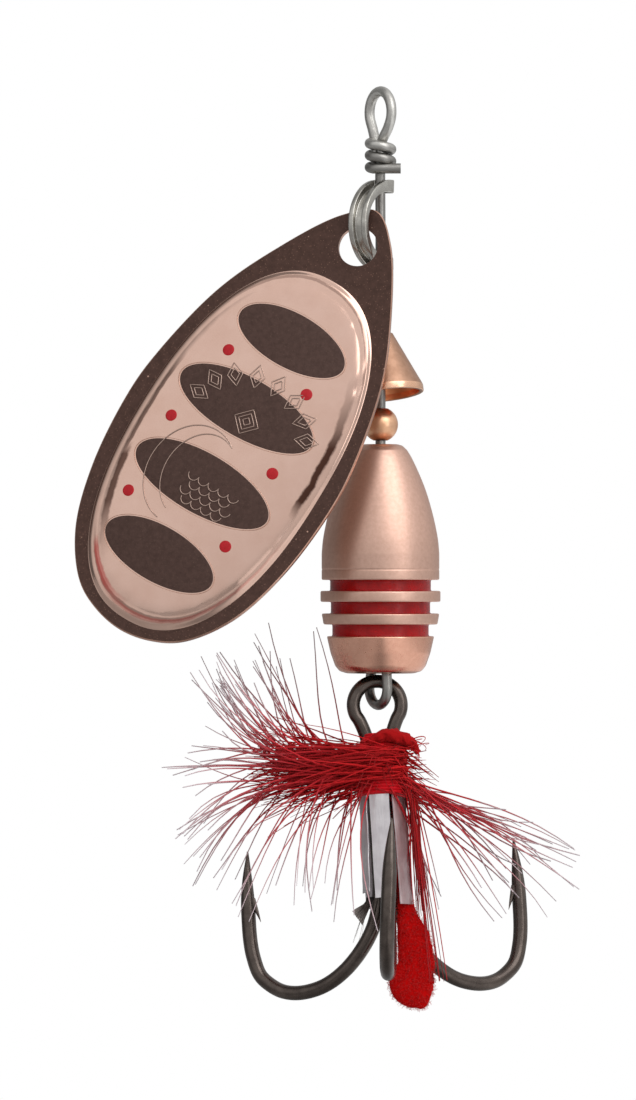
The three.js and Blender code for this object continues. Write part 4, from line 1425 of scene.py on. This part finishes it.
for angle, reach, clumps, spread, lean, sag in SPRAYS:
    for _ in range(clumps):
        a, far = draw.gauss(angle, spread), reach * draw.uniform(0.78, 1.02)
        y = lean + draw.gauss(0, 1.0)
        shade = draw.random()
        for _ in range(draw.choice((1, 1, 1, 2))):
            scatter = Vector((draw.gauss(0, 0.45), draw.gauss(0, 0.4), draw.gauss(0, 0.45)))
            path = fibre_path(a, far, y, sag, scatter)
            if 110 < angle < 170:
                path = parted(path)
            hackle.lay(path, draw.uniform(0.056, 0.09), shade, 0.5)
hackle.made("hackle_fibres", hackle_red, "hackle",
            ["hackle_turn_1", "hackle_turn_2", "hackle_turn_3", "hackle_turn_4", "hackle_turn_5"])

# %% Hackle: the dense mat at the roots
MAT_FIBRES, COLLAR_FIBRES, CURLS = 520, 150, 16
mat = Strands()
for _ in range(MAT_FIBRES):
    a = draw.gauss(182, 9)
    far = draw.uniform(4.2, 9.4) if draw.random() < 0.7 else draw.uniform(2.0, 4.5)
    lift = 1.2 * (1 - abs(a - 182) / 30)
    root = Vector((draw.uniform(-0.4, 2.0), draw.choice((-1, 1)) * draw.uniform(0.9, 1.9),
                   HEART.z + draw.uniform(-0.95, 1.3)))
    aim = Vector((math.cos(math.radians(a)), 0, math.sin(math.radians(a))))
    tip = Vector((root.x * 0.25, root.y * 0.25, root.z * 0.985)) + aim * far
    tip.y += draw.gauss(0, 0.9)
    bow = Vector((0, draw.gauss(0, 0.3), draw.gauss(0.1, 0.3)))
    near = root + Vector((-1.2, root.y * 0.3, 0)) + bow
    mat.lay(bent(root, near, root.lerp(tip, 0.6) + bow, tip, 7), draw.uniform(0.045, 0.09),
            draw.random(), 0.3)
for _ in range(COLLAR_FIBRES):
    turn_at = math.radians(draw.uniform(0, 360))
    root = Vector((1.72 * math.cos(turn_at), 1.72 * math.sin(turn_at), draw.uniform(-6.1, -3.2)))
    out = Vector((math.cos(turn_at), math.sin(turn_at), draw.uniform(-1.1, 0.15)))
    tip = root + out * draw.uniform(0.6, 2.4)
    mat.lay(bent(root, root + out * 0.5, root.lerp(tip, 0.7), tip, 5), draw.uniform(0.04, 0.07),
            draw.random(), 0.3)
for _ in range(CURLS):
    root = Vector((draw.uniform(1.0, 2.3), draw.uniform(-1.9, -1.0), draw.uniform(-3.6, -2.5)))
    swing = Vector((draw.uniform(0.3, 0.9), -0.2, draw.uniform(-0.2, 0.5)))
    tip = root + Vector((draw.uniform(0.1, 1.2), -0.2, draw.uniform(-1.0, 0.1)))
    mat.lay(bent(root, root + swing, tip + swing, tip, 8), draw.uniform(0.03, 0.05), 0.9, 0.5)
mat.made("hackle_mat", mat_red, "hackle")

# %% Hackle: long red strands that hang down
HANGING_STRANDS = 44
hanging = Strands()
for _ in range(HANGING_STRANDS):
    x = draw.gauss(2.2, 0.2)
    root = Vector((draw.uniform(1.3, 2.1), draw.uniform(-1.6, 0.2),
                   -5.4 + draw.uniform(-0.4, 0.4)))
    low = -13.6 + draw.uniform(-2.5, 1.5) if draw.random() < 0.85 else -19.3
    tip = Vector((x + draw.gauss(0, 0.18) - (low + 14) * 0.12, root.y - 0.4, low))
    hanging.lay(bent(root, root + Vector((0.5, -0.1, -2)), tip + Vector((-0.2, 0, 3)), tip, 8),
                draw.uniform(0.04, 0.075), draw.random(), 0.5)
hanging.made("hanging_strands", mat_red, "hackle")

# %% [markdown]
# ## Tinsel, tag and tail
# Flat strips of metallised film hang under the collar. They are cut from a thin sheet, so
# each is a narrow ribbon with a slight crinkle, closed on all sides.

# %% Tinsel
RIBBON_WIDTHS = (1.0, 1.0, 1.0, 1.3, 1.36, 1.4)


def ribbon(turn_at, long, wide, seed, thick=0.06, steps=36, across=6):
    verts, faces = [], []
    out = Vector((math.cos(turn_at), math.sin(turn_at), 0))
    side = Vector((-out.y, out.x, 0))
    for i in range(steps + 1):
        s = i / steps
        for face in (0, 1):
            for k in range(across + 1):
                u = k / across - 0.5
                ripple = 0.05 * noise.noise((u * 2.0 + seed, s * 7.0, seed * 3.7))
                curl = -0.18 * u * u
                r = 1.46 + 0.12 * s + ripple + curl + (thick if face else 0)
                slide = 0.08 * noise.noise((seed * 5.1, s * 2.0, 0))
                z = COLLAR_LOW - long * s
                verts.append(out * r + side * (u * wide + slide) + Vector((0, 0, z)))
    row = 2 * (across + 1)
    for i in range(steps):
        a, b = i * row, (i + 1) * row
        for k in range(across):
            faces.append((a + k, a + k + 1, b + k + 1, b + k))
            c, d = a + across + 1, b + across + 1
            faces.append((c + k, d + k, d + k + 1, c + k + 1))
        faces.append((a, b, b + across + 1, a + across + 1))
        faces.append((a + across, a + row - 1, b + row - 1, b + across))
    for base in (0, steps * row):
        for k in range(across):
            faces.append((base + k, base + k + 1, base + across + 2 + k, base + across + 1 + k))
    return verts, faces


for i, wide in enumerate(RIBBON_WIDTHS):
    long = 6.6 + 0.5 * (i % 3)
    strip = mesh_of("ribbon", *ribbon(math.radians(18 + 60 * i), long, wide, i + 1.0), TREBLE)
    keep("tinsel_ribbon_%d" % (i + 1), strip, "treble", ["tinsel_%d" % (i + 1)],
         [pink_silver if i == 5 else silver], 60)

# %% [markdown]
# The tinsel is tied at its lower end with a wisp of dark, crimped wire, which flares into
# a small stiff brush.

# %% Tag
BRUSH_FIBRES, LOOSE_FIBRES = 90, 5
tag = Strands()
for _ in range(BRUSH_FIBRES):
    neck = Vector((-1.3 + draw.gauss(0, 0.09), -0.95 + draw.gauss(0, 0.07), -13.3))
    flare = draw.uniform(-1, 1)
    tip = Vector((-2.25 + 0.32 * flare, -1.1 + draw.gauss(0, 0.1), -14.7 - 0.5 * flare))
    tag.lay(bent(neck, neck + Vector((-0.02, 0, -0.5)), neck.lerp(tip, 0.6), tip, 5),
            draw.uniform(0.022, 0.045), draw.random(), 0.7)
for _ in range(LOOSE_FIBRES):
    neck = Vector((-1.35, -1.0, -13.4))
    tip = Vector((-2.5 + draw.gauss(0, 0.3), -1.1, -16.2 + draw.gauss(0, 0.5)))
    tag.lay(bent(neck, neck + Vector((-0.4, 0, -0.6)), tip + Vector((0.3, 0, 0.8)), tip, 8), 0.016,
            draw.random(), 0.5)
tag.made("tinsel_tag_brush", tag_fibre, "tag", ["tinsel_tag"])

# %% [markdown]
# The tail is a leaf of red felt or wool yarn. Its surface is soft and slightly lumpy, and
# short fibres stand off its edge. The leaf is a flat tube through a few stations, and the
# fibres are scattered over it by a tree with a fixed seed.

# %% Tail leaf
def tail_leaf():
    """Stations down the leaf: its middle, then its half width and half thickness."""
    stem = (0.762, -0.44)
    leaf = [(*stem, -6.35, 0.18, 0.18), (*stem, -10, 0.18, 0.18), (*stem, -12.9, 0.2, 0.18),
            (1.04, -0.5, -13.7, 0.5, 0.22), (1.25, -0.6, -15, 0.82, 0.3),
            (1.5, -0.62, -16.3, 1.15, 0.4), (1.6, -0.5, -18, 1.25, 0.5),
            (1.25, -0.45, -19.3, 1.55, 0.52), (1.55, -0.45, -20.2, 1.2, 0.45),
            (1.8, -0.45, -20.8, 0.55, 0.25), (1.85, -0.45, -21.05, 0.12, 0.08)]
    path = smooth([p[:3] for p in leaf], 8)
    wide = smooth([(p[3], p[4], 0) for p in leaf], 8)
    run = lengths(path)

    def size(at, whole):
        i = min(range(len(run)), key=lambda k: abs(run[k] - at))
        return max(0.05, wide[i].x), max(0.04, wide[i].y)

    verts, faces = tube(path, size, 40, (1, 0, 0))
    soft = []
    for v in verts:
        fade = max(0.0, min(1.0, (-13.2 - v.z) / 1.5))
        push = 0.10 * noise.noise(v * 1.4) + 0.05 * noise.noise(v * 4.0)
        soft.append(v + Vector((push, push * 0.7, 0)) * fade)
    return soft, faces


leaf_mesh = mesh_of("leaf", *tail_leaf(), metres=False)
print("leaf of", len(leaf_mesh.vertices), "points")

# %% Geometry tree: fuzz on felt
fuzz, take, give = tree_of("felt_fuzz", {"Density": 60.0, "Long": 0.5, "Seed": 7,
                                         "Material": "NodeSocketMaterial"})
roots = add(fuzz, "GeometryNodeDistributePointsOnFaces", {
    0: take["Geometry"], "Density": take["Density"], "Seed": take["Seed"]})
hair_line = add(fuzz, "GeometryNodeCurvePrimitiveBezierSegment", {
    "Resolution": 5, "Start": (0, 0, -0.05), "Start Handle": (0.1, 0, 0.5),
    "End Handle": (0.5, 0.2, 0.8), "End": (0.9, 0.5, 0.75)}).outputs[0]
factor = add(fuzz, "GeometryNodeSplineParameter").outputs["Factor"]
marked = add(fuzz, "GeometryNodeStoreNamedAttribute", {0: hair_line, "Name": "along",
                                                       "Value": factor},
             data_type="FLOAT", domain="POINT").outputs[0]
hair = add(fuzz, "GeometryNodeCurveToMesh", {0: marked, 1: circle_of(fuzz, 3, 0.05)}).outputs[0]
spin = add(fuzz, "FunctionNodeRandomValue", {0: (-0.7, -0.7, 0), 1: (0.7, 0.7, 6.28),
                                             "Seed": take["Seed"]}, data_type="FLOAT_VECTOR")
tilt = add(fuzz, "FunctionNodeRotateRotation", {
    "Rotation": roots.outputs["Rotation"],
    "Rotate By": add(fuzz, "FunctionNodeEulerToRotation", {0: spin.outputs[0]}).outputs[0]},
    rotation_space="LOCAL")
long_by = add(fuzz, "FunctionNodeRandomValue", {2: 0.3, 3: 1.0, "Seed": take["Seed"]},
              data_type="FLOAT").outputs[1]
stand = add(fuzz, "GeometryNodeInstanceOnPoints", {
    "Points": roots.outputs["Points"], "Instance": hair, "Rotation": tilt.outputs[0],
    "Scale": sum_of(fuzz, "MULTIPLY", long_by, take["Long"])})
end_of(fuzz, stand.outputs[0], take["Material"], give)

# %% Tail with its fuzz
fuzz_mesh = made_by(fuzz, leaf_mesh.copy(), TREBLE, Density=90.0, Long=0.26, Material=fuzz_red)
keep("tail_fuzz", fuzz_mesh, "treble", sharp=0)
leaf_mesh.transform(Matrix.Scale(MM, 4) @ TREBLE)
keep("tail_leaf", leaf_mesh, "treble", ["tail_yarn"], [tail_red], 80)
